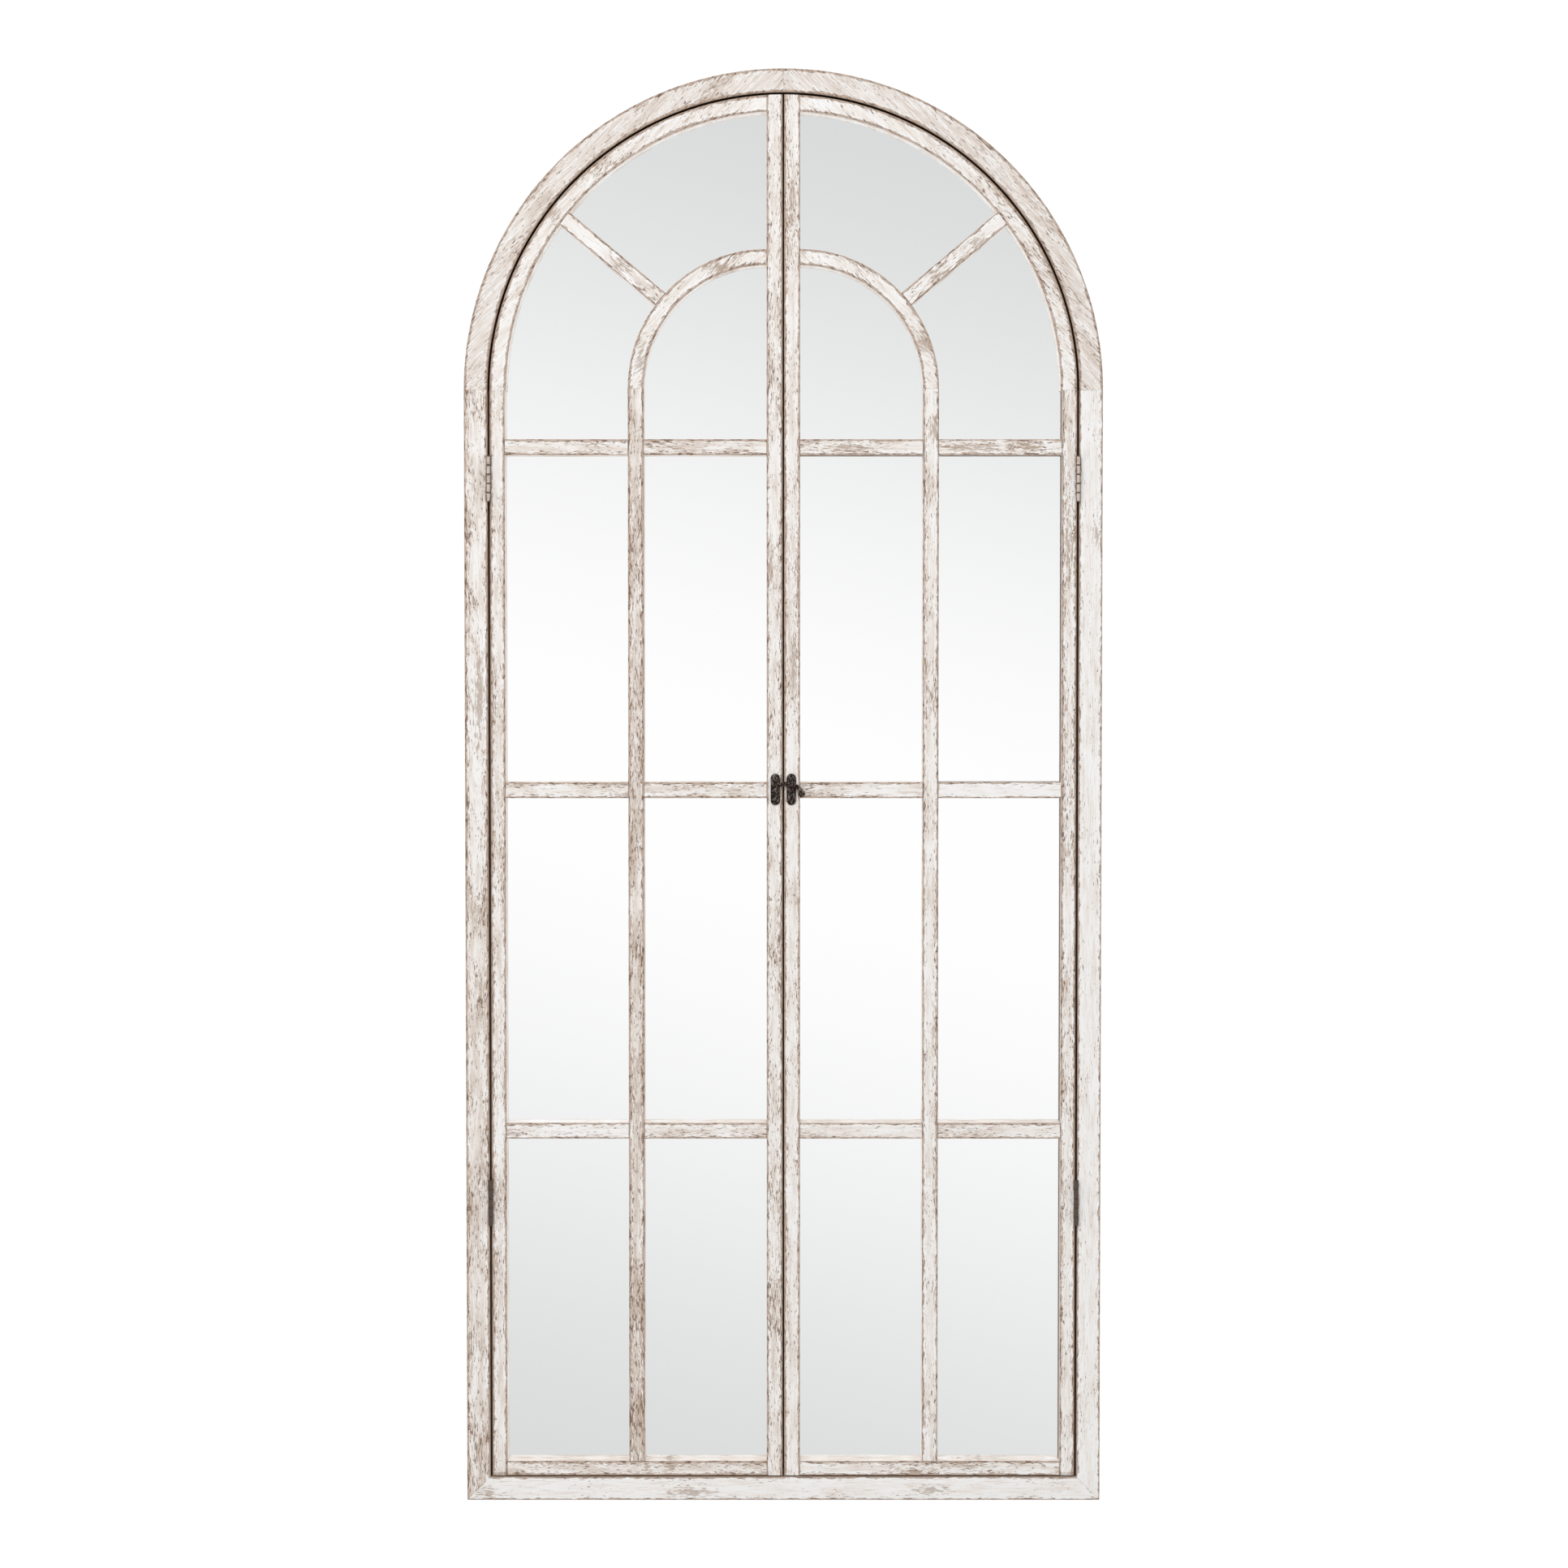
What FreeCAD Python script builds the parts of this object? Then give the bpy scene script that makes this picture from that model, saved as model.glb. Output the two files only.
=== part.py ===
"""Arched window mirror: a whitewashed wooden window casing round one fixed mirror,
with two openwork leaves hinged in front of it and a hook latch between them.

Frame: +X to the right, the front faces -Y, +Z up, millimetres.  The origin is the
middle of the bottom edge of the back, so the wall plane is y = 0.
"""
import FreeCAD, Part
import math
import os
import Sketcher

Vector = FreeCAD.Vector
Rotation = FreeCAD.Rotation
DEPTH_AXIS = Vector(0, 1, 0)
# small round parts are drawn with this many flats, to keep the model light
FASTENER_SIDES = 6
BARREL_SIDES = 12
LATCH_SIDES = 18

doc = FreeCAD.newDocument("arched_window_mirror")

# ---------------------------------------------------------------- driving dimensions
DIMENSIONS = (
    # casing: outline, depth and the width of its face
    ("overall_width", 800), ("overall_height", 1800),
    ("casing_depth", 35), ("casing_face", 29.5),
    # lip that the leaves close against, and the rebate behind it for the glass
    ("lip_reach", 8), ("lip_front", 19.2), ("lip_back", 16), ("rebate_reach", 23.5),
    ("glass_gap", 0.5), ("glass_thickness", 4), ("board_thickness", 3),
    # leaves
    ("leaf_front", 34.5), ("leaf_back", 19.5), ("leaf_gap", 2.8),
    ("leaf_bottom", 31), ("leaf_meeting", 1), ("arris", 1),
    ("hanging_stile_width", 18.7), ("meeting_stile_width", 20),
    ("bottom_rail_width", 18.5), ("arch_rail_width", 20.5),
    ("bar_width", 20), ("muntin_centre", 184.85),
    ("inner_arch_base", 1402), ("fan_angle", 40),
    ("transom_base", 469.2), ("transom_pitch", 429.8),
    # stub tenons on every bar end
    ("tenon_length", 8), ("tenon_thickness", 5), ("tenon_shoulder", 4),
    ("fan_tenon_length", 6), ("arch_tenon_shoulder", 5.6),
    # butt hinges in the side gaps
    ("barrel_radius", 2.9), ("barrel_clear", 0.4), ("axis_inset", 1.4),
    ("plate_thickness", 1.1), ("plate_depth", 16.5),
    ("knuckle_pitch", 11.45), ("knuckle_gap", 0.25), ("swing_clear", 0.35),
    ("pin_radius", 1.5), ("pin_fit", 0.05), ("pin_head", 2.2), ("pin_head_height", 0.8),
    ("upper_hinge", 1289), ("lower_hinge", 378),
    # screws: csk_* is the countersunk head
    ("csk_radius", 2.4), ("csk_height", 1.1), ("shank_radius", 1.25), ("shank_length", 10.5),
    ("hinge_screw_pitch", 19),
    # latch
    ("latch_level", 900), ("latch_offset", 10), ("latch_plate_width", 12),
    ("latch_plate_height", 39.6), ("latch_plate_thickness", 1.6),
    ("latch_screw_offset", 14.4), ("eye_radius", 5.4), ("hook_thickness", 3),
    ("hook_rise", 9.7), ("hook_past", 13), ("hook_droop", 5.2), ("hook_bulb", 4.3), ("hook_rest", 0.3),
    ("hook_gap", 0.3), ("rivet_radius", 2), ("rivet_head", 3.1), ("rivet_rise", 1.3),
    ("peg_radius", 2.5), ("peg_collar", 3.7), ("peg_collar_height", 0.8),
    # what is fastened to the back
    ("dowel_radius", 4), ("dowel_length", 24), ("tab_width", 20), ("tab_reach", 16),
    ("tab_thickness", 0.8), ("tab_bite", 7), ("strip_width", 14), ("strip_thickness", 3),
    ("hanger_level", 1330), ("hanger_width", 18), ("hanger_height", 52),
    ("hanger_thickness", 1.6), ("keyhole_radius", 5), ("keyhole_slot", 2.6),
    ("keyhole_rise", 14), ("keyhole_pocket", 10), ("hanger_screw_offset", 20),
    ("front_dowel_depth", 25.9), ("back_dowel_depth", 9.1),
)

sheet = doc.addObject("Spreadsheet::Sheet", "dims")
for row, (alias, number) in enumerate(DIMENSIONS, start=1):
    sheet.set("A%d" % row, alias)
    sheet.set("B%d" % row, str(number))
    sheet.setAlias("B%d" % row, alias)
doc.recompute()


def value(expression):
    """The number that an expression of the sheet's names gives."""
    return float(sheet.evalExpression(expression))


# lengths that several pieces share, as expressions of the sheet's names
HALF = "dims.overall_width / 2"
SPRING = "(dims.overall_height - dims.overall_width / 2)"
REBATE = "(dims.overall_width / 2 - dims.rebate_reach)"
GLASS = "(dims.overall_width / 2 - dims.rebate_reach - dims.glass_gap)"
LEAF = "(dims.overall_width / 2 - dims.casing_face - dims.leaf_gap)"
LEAF_THICKNESS = "(dims.leaf_front - dims.leaf_back)"
LEAF_MIDDLE = "(-(dims.leaf_front + dims.leaf_back) / 2)"
MEETING_EDGE = "(dims.leaf_meeting + dims.meeting_stile_width)"
ARCH_INNER = "(dims.overall_width / 2 - dims.casing_face - dims.leaf_gap - dims.arch_rail_width)"
INNER_ARCH_OUTER = "(dims.muntin_centre + dims.bar_width / 2 - dims.leaf_meeting - dims.meeting_stile_width)"
INNER_ARCH_INNER = "(dims.muntin_centre - dims.bar_width / 2 - dims.leaf_meeting - dims.meeting_stile_width)"
RAIL_TOP = "(dims.leaf_bottom + dims.bottom_rail_width)"
STILE_EDGE = "(dims.overall_width / 2 - dims.casing_face - dims.leaf_gap - dims.hanging_stile_width)"
HINGE_X = "(dims.overall_width / 2 - dims.casing_face - dims.axis_inset)"
HINGE_Y = "(-(dims.casing_depth + dims.barrel_radius + dims.barrel_clear))"
KNUCKLE = "(dims.knuckle_pitch - dims.knuckle_gap)"
HINGE_HEIGHT = "(5 * dims.knuckle_pitch - dims.knuckle_gap)"
PLATE_FACE = "(-(dims.leaf_front + dims.latch_plate_thickness))"
HOOK_BACK = "(-(dims.leaf_front + dims.latch_plate_thickness + dims.peg_collar_height + dims.hook_gap))"


# ---------------------------------------------------------------- small building tools
def bind(obj, **expressions):
    """Tie an object's sizes to the sheet."""
    for prop, expression in expressions.items():
        obj.setExpression(prop, expression)
    return obj


def stand(obj, x="0", y="0", z="0"):
    """Put an object's own origin at (x, y, z), given as expressions."""
    for axis, expression in zip("xyz", (x, y, z)):
        obj.setExpression("Placement.Base." + axis, expression)
    return obj


def turn(obj, x, y, z, degrees, axis=DEPTH_AXIS):
    """Put an object at (x, y, z), turned about an axis, by numbers."""
    for direction in "xyz":
        obj.setExpression("Placement.Base." + direction, None)
    obj.Placement = FreeCAD.Placement(Vector(x, y, z), Rotation(axis, degrees))
    return obj


def box(name, length, width, height, x="0", y="0", z="0"):
    block = doc.addObject("Part::Box", name)
    bind(block, Length=length, Width=width, Height=height)
    return stand(block, x, y, z)


def cylinder(name, radius, height, x="0", y="0", z="0"):
    round_bar = doc.addObject("Part::Cylinder", name)
    bind(round_bar, Radius=radius, Height=height)
    return stand(round_bar, x, y, z)


def turned(name, radius, height, sides, x="0", y="0", z="0"):
    """A small turned rod, drawn with flats."""
    rod = doc.addObject("Part::Prism", name)
    rod.Polygon = sides
    bind(rod, Circumradius=radius, Height=height)
    return stand(rod, x, y, z)


def solids(name, members):
    """Separate solids held together as one object."""
    compound = doc.addObject("Part::Compound", name)
    compound.Links = members
    return compound


def fuse(name, members):
    joined = doc.addObject("Part::MultiFuse", name)
    joined.Shapes = members
    joined.Refine = True
    return joined


def cut(name, base, tools):
    """Take the tools' shapes out of the base."""
    removed = tools[0] if len(tools) == 1 else solids(name + "_tools", tools)
    result = doc.addObject("Part::Cut", name)
    result.Base = base
    result.Tool = removed
    return result


def mirror(name, source):
    """The same piece on the other side of the centre line."""
    copy = doc.addObject("Part::Mirroring", name)
    copy.Source = source
    copy.Base = Vector(0, 0, 0)
    copy.Normal = Vector(1, 0, 0)
    return copy


def section(body, points, lift=None):
    """A closed sketch through points given as pairs of expressions."""
    sketch = body.newObject("Sketcher::SketchObject", body.Name + "_section")
    ground = next(plane for plane in body.Origin.OriginFeatures if plane.Role == "XY_Plane")
    sketch.AttachmentSupport = [(ground, "")]
    sketch.MapMode = "FlatFace"
    if lift:
        sketch.setExpression("AttachmentOffset.Base.z", lift)
    corners = [Vector(value(across), value(depth), 0) for across, depth in points]
    count = len(corners)
    for index in range(count):
        side = Part.LineSegment(corners[index], corners[(index + 1) % count])
        sketch.addGeometry(side, False)
    for index in range(count):
        sketch.addConstraint(Sketcher.Constraint("Coincident", index, 2, (index + 1) % count, 1))
    for index, (across, depth) in enumerate(points):
        for kind, expression in (("DistanceX", across), ("DistanceY", depth)):
            distance = Sketcher.Constraint(kind, -1, 1, index, 1, value(expression))
            number = sketch.addConstraint(distance)
            sketch.setExpression("Constraints[%d]" % number, expression)
    return sketch


def pad(body, sketch, length):
    feature = body.newObject("PartDesign::Pad", body.Name + "_pad")
    feature.Profile = sketch
    feature.setExpression("Length", length)
    body.Tip = feature
    return feature


def quarter_turn(body, sketch):
    """Turn a section a quarter round the sketch's own upright, towards +Z."""
    feature = body.newObject("PartDesign::Revolution", body.Name + "_turn")
    feature.Profile = sketch
    feature.ReferenceAxis = (sketch, ["V_Axis"])
    feature.Angle = 90
    feature.Reversed = True
    body.Tip = feature
    return feature


# ---------------------------------------------------------------- wooden members
def casing_points(outer, inwards):
    """The casing's moulded section: eased front, lip for the leaves, rebate for the
    glass.  outer is where its outside face is, inwards the sign towards the opening."""
    def at(reach):
        return "%s %s (%s)" % (outer, inwards, reach)

    front = "-dims.casing_depth"
    return [
        (at("0"), "0"),
        (at("dims.rebate_reach"), "0"),
        (at("dims.rebate_reach"), "-dims.lip_back"),
        (at("dims.casing_face + dims.lip_reach"), "-dims.lip_back"),
        (at("dims.casing_face + dims.lip_reach"), "-dims.lip_front"),
        (at("dims.casing_face"), "-dims.lip_front"),
        (at("dims.casing_face"), front + " + dims.arris"),
        (at("dims.casing_face - dims.arris"), front),
        (at("dims.arris"), front),
        (at("0"), front + " + dims.arris"),
    ]


def bar_points(low, high):
    """A leaf bar's section between two edges, its two front arrises eased."""
    front = "-dims.leaf_front"
    return [
        (low, "-dims.leaf_back"),
        (low, front + " + dims.arris"),
        (low + " + dims.arris", front),
        (high + " - dims.arris", front),
        (high, front + " + dims.arris"),
        (high, "-dims.leaf_back"),
    ]


def tenon_points(half_width):
    """A stub tenon's section: thinner than its bar and shouldered on both edges."""
    low = LEAF_MIDDLE + " - dims.tenon_thickness / 2"
    high = LEAF_MIDDLE + " + dims.tenon_thickness / 2"
    across = "(%s - dims.tenon_shoulder)" % half_width
    return [("-" + across, low), (across, low), (across, high), ("-" + across, high)]


def straight_bar(name, width, length, tenon_start=True, tenon_end=True):
    """A bar along its own Z, from 0 to length, with a stub tenon on the ends named."""
    half = "(%s) / 2" % width
    body = doc.addObject("PartDesign::Body", name)
    pad(body, section(body, bar_points("-" + half, half)), length)
    if tenon_start or tenon_end:
        start = "-dims.tenon_length" if tenon_start else "0"
        ends = int(tenon_start) + int(tenon_end)
        reach = "%s + %d * dims.tenon_length" % (length, ends)
        pad(body, section(body, tenon_points(half), lift=start), reach)
    return body


def upright(name, width, centre, base, length, tenon_start=True, tenon_end=True):
    """A straight bar that stands up."""
    return stand(straight_bar(name, width, length, tenon_start, tenon_end), centre, "0", base)


def crossbar(name, width, start, length, level, tenons=True):
    """A straight bar that lies across, from start towards +X."""
    body = straight_bar(name, width, length, tenons, tenons)
    return turn(body, value(start), 0, value(level), 90)


def quarter_bar(name, inner, outer, x, z):
    """A bar bent round a quarter circle about (x, z)."""
    body = doc.addObject("PartDesign::Body", name)
    quarter_turn(body, section(body, bar_points(inner, outer)))
    return stand(body, x, "0", z)


# ---------------------------------------------------------------- fastenings
def rim(radius, level):
    """Corners of a fastener's edge, on its own Z."""
    turns = [2 * math.pi * step / FASTENER_SIDES for step in range(FASTENER_SIDES)]
    return [Vector(radius * math.cos(angle), radius * math.sin(angle), level) for angle in turns]


def countersunk(name, head, head_height, shank, shank_length):
    """A countersunk screw on its own Z: the head's flat face at 0, the point below."""
    top = rim(value(head), 0)
    neck = rim(value(shank), -value(head_height))
    outlines = [top, neck]
    for corner in range(FASTENER_SIDES):
        after = (corner + 1) % FASTENER_SIDES
        outlines.append([top[corner], top[after], neck[after], neck[corner]])
    faces = [Part.Face(Part.makePolygon(outline + outline[:1])) for outline in outlines]
    sunk = doc.addObject("Part::Feature", name + "_head")
    sunk.Shape = Part.Solid(Part.Shell(faces))
    shaft = turned(name + "_shank", shank, shank_length, FASTENER_SIDES,
                   z="-%s - %s" % (head_height, shank_length))
    return fuse(name, [sunk, shaft])


def copies(name, source, places):
    """The same fastener at several places, each (x, y, z, axis, degrees)."""
    links = []
    for number, (x, y, z, axis, degrees) in enumerate(places, start=1):
        copy = doc.addObject("Part::Compound", "%s_%d" % (name, number))
        copy.Links = [source]
        links.append(turn(copy, x, y, z, degrees, axis))
    return links


csk_screw = countersunk("csk_screw", "dims.csk_radius", "dims.csk_height",
                        "dims.shank_radius", "dims.shank_length")

# ---------------------------------------------------------------- casing members
jamb_blank = doc.addObject("PartDesign::Body", "jamb_blank")
pad(jamb_blank, section(jamb_blank, casing_points(HALF, "-")), SPRING)

# the mitre runs inwards and up from the outside corner at 45 degrees
MITRE_ANGLE = 225
MITRE_BLOCK = ("4 * dims.casing_depth", "2 * dims.casing_depth", "3 * dims.casing_depth")
mitre_margin = value("dims.casing_depth")
mitre_block = box("mitre_block", *MITRE_BLOCK)
turn(mitre_block, value(HALF) + mitre_margin, -1.5 * mitre_margin, -mitre_margin, MITRE_ANGLE)
jamb_mitred = cut("jamb_mitred", jamb_blank, [mitre_block])

sill_blank = doc.addObject("PartDesign::Body", "sill_blank")
pad(sill_blank, section(sill_blank, casing_points("0", "+")), "dims.overall_width")
turn(sill_blank, value(HALF), 0, 0, -90)
sill_block = box("sill_block", *MITRE_BLOCK)
turn(sill_block, value(HALF) - 2 * mitre_margin, -1.5 * mitre_margin, 2 * mitre_margin, MITRE_ANGLE - 180)
sill_block_left = mirror("sill_block_left", sill_block)

arch_blank = doc.addObject("PartDesign::Body", "arch_blank")
quarter_turn(arch_blank, section(arch_blank, casing_points(HALF, "-")))
stand(arch_blank, "0", "0", SPRING)

# dowels across the seams: two at each, one behind the other
spring = value(SPRING)
half = value(HALF)
seam_middle = half - value("dims.rebate_reach") / 2
arch_seam = spring + seam_middle
mitre_middle = half - value("dims.casing_face") / 2
dowel = turned("dowel", "dims.dowel_radius", "dims.dowel_length", FASTENER_SIDES, z="-dims.dowel_length / 2")
dowel_places = []
for depth in (-value("dims.front_dowel_depth"), -value("dims.back_dowel_depth")):
    dowel_places += [
        (seam_middle, depth, spring, DEPTH_AXIS, 0),
        (-seam_middle, depth, spring, DEPTH_AXIS, 0),
        (0, depth, arch_seam, DEPTH_AXIS, 90),
        (mitre_middle, depth, half - mitre_middle, DEPTH_AXIS, 45),
        (-mitre_middle, depth, half - mitre_middle, DEPTH_AXIS, -45),
    ]
casing_dowels = solids("casing_dowels", copies("dowel", dowel, dowel_places))

# ---------------------------------------------------------------- glass, board and strip
def arched_panel(name, half_width, thickness, back):
    """A flat panel with a square foot and a round head that fills the rebate."""
    foot = "(dims.rebate_reach + dims.glass_gap)"
    lower = box(name + "_lower", "2 * " + half_width, thickness, SPRING + " - " + foot,
                "-" + half_width, back, foot)
    disc = cylinder(name + "_disc", half_width, thickness)
    turn(disc, 0, value(back), spring, -90, Vector(1, 0, 0))
    return fuse(name, [lower, disc])


mirror_glass = arched_panel("mirror_glass", GLASS, "dims.glass_thickness", "-dims.lip_back")
backing_board = arched_panel("backing_board", GLASS, "dims.board_thickness",
                             "-dims.lip_back + dims.glass_thickness")
BOARD_BACK = "(-dims.lip_back + dims.glass_thickness + dims.board_thickness)"

strip_foot = "(dims.casing_face + dims.lip_reach)"
centre_strip = box("centre_strip", "dims.strip_width", "dims.strip_thickness",
                   "dims.overall_height - 2 * %s - dims.glass_gap" % strip_foot,
                   "-dims.strip_width / 2", "-dims.lip_back - dims.strip_thickness", strip_foot)

# thin steel tabs driven into the rebate's wall, over the board: up the jambs and along
# the sill by shares of their length, round the head by angles
JAMB_SHARES = (0.18, 0.5, 0.82)
SILL_SHARES = (-0.5, 0.5)
HEAD_ANGLES = (25, 65, 115, 155)
tab = box("tab", "dims.tab_reach", "dims.tab_thickness", "dims.tab_width",
          "dims.tab_bite - dims.tab_reach", "0", "-dims.tab_width / 2")
rebate = value(REBATE)
tab_depth = value(BOARD_BACK)
tab_places = []
for share in JAMB_SHARES:
    tab_places += [(rebate, tab_depth, spring * share, DEPTH_AXIS, 0),
                   (-rebate, tab_depth, spring * share, DEPTH_AXIS, 180)]
for degrees in HEAD_ANGLES:
    angle = math.radians(degrees)
    tab_places.append((rebate * math.cos(angle), tab_depth, spring + rebate * math.sin(angle),
                       DEPTH_AXIS, -degrees))
for share in SILL_SHARES:
    tab_places.append((rebate * share, tab_depth, half - rebate, DEPTH_AXIS, 90))
backing_tabs = solids("backing_tabs", copies("tab", tab, tab_places))


# ---------------------------------------------------------------- hinges
def knuckles(name, places):
    """Barrel knuckles on the hinge axis, counted from the bottom."""
    return [turned("%s_knuckle_%d" % (name, place), "dims.barrel_radius", KNUCKLE, BARREL_SIDES,
                   z="%d * dims.knuckle_pitch" % place) for place in places]


def hinge_plate(name, plate_x, own, bore):
    """A butt hinge's plate on its own axis: a flat that ends clear of the barrel, and
    necks that carry its own knuckles, which are bored for the pin."""
    clear = "(dims.barrel_radius + dims.swing_clear)"
    flat = box(name + "_flat", "dims.plate_thickness", "dims.plate_depth - " + clear, HINGE_HEIGHT,
               plate_x, clear)
    necks = [box("%s_neck_%d" % (name, place), "dims.plate_thickness", clear, KNUCKLE, plate_x, "0",
                 "%d * dims.knuckle_pitch" % place) for place in own]
    blank = fuse(name + "_blank", [flat] + necks + knuckles(name, own))
    return cut(name, blank, [turned(name + "_bore", bore, HINGE_HEIGHT, BARREL_SIDES)])


FRAME_KNUCKLES = (0, 2, 4)
DOOR_KNUCKLES = (1, 3)
frame_plate = hinge_plate("frame_plate", "dims.axis_inset - dims.plate_thickness",
                          FRAME_KNUCKLES, "dims.pin_radius")
door_plate = hinge_plate("door_plate", "-dims.axis_inset", DOOR_KNUCKLES,
                         "(dims.pin_radius + dims.pin_fit) / cos(180 / %d)" % BARREL_SIDES)
pin_shank = turned("pin_shank", "dims.pin_radius", HINGE_HEIGHT, BARREL_SIDES)
pin_head = turned("pin_head", "dims.pin_head", "dims.pin_head_height", BARREL_SIDES, z=HINGE_HEIGHT)
hinge_pin = fuse("hinge_pin", [pin_shank, pin_head])

hinge_x = value(HINGE_X)
hinge_y = value(HINGE_Y)
hinge_feet = {"lower": value("dims.lower_hinge - " + HINGE_HEIGHT + " / 2"),
              "upper": value("dims.upper_hinge - " + HINGE_HEIGHT + " / 2")}
screw_y = hinge_y + value("(dims.barrel_radius + dims.swing_clear + dims.plate_depth) / 2")
frame_face = hinge_x + value("dims.axis_inset - dims.plate_thickness")
door_face = hinge_x - value("dims.axis_inset - dims.plate_thickness")
frame_screw_places = []
door_screw_places = []
for foot in hinge_feet.values():
    for step in (-1, 0, 1):
        level = foot + value(HINGE_HEIGHT) / 2 + step * value("dims.hinge_screw_pitch")
        frame_screw_places.append((frame_face, screw_y, level, DEPTH_AXIS, -90))
        door_screw_places.append((door_face, screw_y, level, DEPTH_AXIS, 90))
frame_screws_right = solids("frame_screws_right", copies("frame_screw", csk_screw, frame_screw_places))
frame_screws_left = mirror("frame_screws_left", frame_screws_right)
right_door_hinge_screws = solids("right_door_hinge_screws",
                                 copies("door_screw", csk_screw, door_screw_places))
left_door_hinge_screws = mirror("left_door_hinge_screws", right_door_hinge_screws)
frame_hinge_screws = solids("frame_hinge_screws", [frame_screws_right, frame_screws_left])


def hinge_parts(level):
    """One hinge on each side at a level: both plates, screw holes cut, and the pin."""
    parts = {}
    for part, source, screws in (("frame_leaf", frame_plate, frame_screws_right),
                                 ("door_leaf", door_plate, right_door_hinge_screws),
                                 ("pin", hinge_pin, None)):
        name = "right_%s_hinge_%s" % (level, part)
        place = (hinge_x, hinge_y, hinge_feet[level], DEPTH_AXIS, 0)
        placed = copies(name + "_plain", source, [place])[0]
        if screws:
            parts[name] = cut(name, placed, [screws])
        else:
            parts[name] = solids(name, [placed])
        left = name.replace("right_", "left_")
        parts[left] = mirror(left, parts[name])
    return parts


hinges = {}
for hinge_level in ("upper", "lower"):
    hinges.update(hinge_parts(hinge_level))

# ---------------------------------------------------------------- keyhole hangers
hanger_foot = "(dims.hanger_level - dims.hanger_height / 2)"
hanger_x = "(%s - dims.rebate_reach / 2)" % HALF
hanger_blank = box("hanger_blank", "dims.hanger_width", "dims.hanger_thickness", "dims.hanger_height",
                   hanger_x + " - dims.hanger_width / 2", "-dims.hanger_thickness", hanger_foot)
ENTRY = "(dims.hanger_level - dims.keyhole_rise / 2)"
entry_hole = cylinder("entry_hole", "dims.keyhole_radius", "dims.hanger_thickness")
turn(entry_hole, value(hanger_x), 0, value(ENTRY), 90, Vector(1, 0, 0))
slot = box("keyhole_slot_cut", "2 * dims.keyhole_slot", "dims.hanger_thickness", "dims.keyhole_rise",
           hanger_x + " - dims.keyhole_slot", "-dims.hanger_thickness", ENTRY)
hanger_screw_places = [(value(hanger_x), 0, value("dims.hanger_level") + side * value("dims.hanger_screw_offset"),
                        Vector(1, 0, 0), -90) for side in (-1, 1)]
hanger_screws_right = solids("hanger_screws_right", copies("hanger_screw", csk_screw, hanger_screw_places))
hanger_plate = cut("hanger_plate", hanger_blank, [entry_hole, slot, hanger_screws_right])
hanger_plates = solids("hanger_plates", [hanger_plate, mirror("hanger_plate_left", hanger_plate)])
hanger_screws = solids("hanger_screws", [hanger_screws_right, mirror("hanger_screws_left", hanger_screws_right)])
head_room = "(dims.keyhole_radius + 1)"
pocket = box("hanger_pocket", "2 * " + head_room, "dims.keyhole_pocket",
             "dims.keyhole_rise + 2 * " + head_room, hanger_x + " - " + head_room,
             "-dims.keyhole_pocket", "%s - %s" % (ENTRY, head_room))

# ---------------------------------------------------------------- finished casing
right_jamb = cut("right_jamb", jamb_mitred, [casing_dowels, backing_tabs, frame_screws_right,
                                             hanger_blank, hanger_screws_right, pocket])
left_jamb = mirror("left_jamb", right_jamb)
sill = cut("sill", sill_blank, [sill_block, sill_block_left, casing_dowels, backing_tabs])
right_arch_half = cut("right_arch_half", arch_blank, [casing_dowels, backing_tabs])
left_arch_half = mirror("left_arch_half", right_arch_half)

# ---------------------------------------------------------------- right leaf, members
BAY_INNER = "(dims.muntin_centre - dims.bar_width / 2 - %s)" % MEETING_EDGE
BAY_OUTER = "(%s - dims.muntin_centre - dims.bar_width / 2)" % STILE_EDGE
LEVELS = ("lower", "middle", "upper")

transoms = {}
for step, level_name in enumerate(LEVELS):
    level = "dims.transom_base + %d * dims.transom_pitch" % step
    transoms["right_%s_inner_transom" % level_name] = crossbar(
        "right_%s_inner_transom" % level_name, "dims.bar_width", MEETING_EDGE, BAY_INNER, level)
    transoms["right_%s_outer_transom" % level_name] = crossbar(
        "right_%s_outer_transom" % level_name, "dims.bar_width",
        "dims.muntin_centre + dims.bar_width / 2", BAY_OUTER, level)

right_bottom_rail_blank = crossbar("right_bottom_rail_blank", "dims.bottom_rail_width", MEETING_EDGE,
                                   "(%s - %s)" % (STILE_EDGE, MEETING_EDGE),
                                   "dims.leaf_bottom + dims.bottom_rail_width / 2")
right_muntin_blank = upright("right_muntin_blank", "dims.bar_width", "dims.muntin_centre", RAIL_TOP,
                             "(dims.inner_arch_base - %s)" % RAIL_TOP)
hanging_blank = upright("hanging_blank", "dims.hanging_stile_width",
                        "(%s + dims.hanging_stile_width / 2)" % STILE_EDGE, "dims.leaf_bottom",
                        "(%s - dims.leaf_bottom)" % SPRING, tenon_start=False)
meeting_blank = upright("meeting_blank", "dims.meeting_stile_width",
                        "(dims.leaf_meeting + dims.meeting_stile_width / 2)", "dims.leaf_bottom",
                        "(%s + %s - dims.leaf_bottom)" % (SPRING, LEAF), False, False)

# a disc that follows the leaf's head trims what stands under the arch
head_disc = cylinder("head_disc", LEAF, LEAF_THICKNESS)
turn(head_disc, 0, -value("dims.leaf_front"), spring, -90, Vector(1, 0, 0))
head_block = box("head_block", LEAF, LEAF_THICKNESS, SPRING + " - dims.leaf_bottom", "0",
                 "-dims.leaf_front", "dims.leaf_bottom")
leaf_outline = fuse("leaf_outline", [head_disc, head_block])
meeting_shaped = doc.addObject("Part::Common", "meeting_shaped")
meeting_shaped.Base = meeting_blank
meeting_shaped.Tool = leaf_outline

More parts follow.
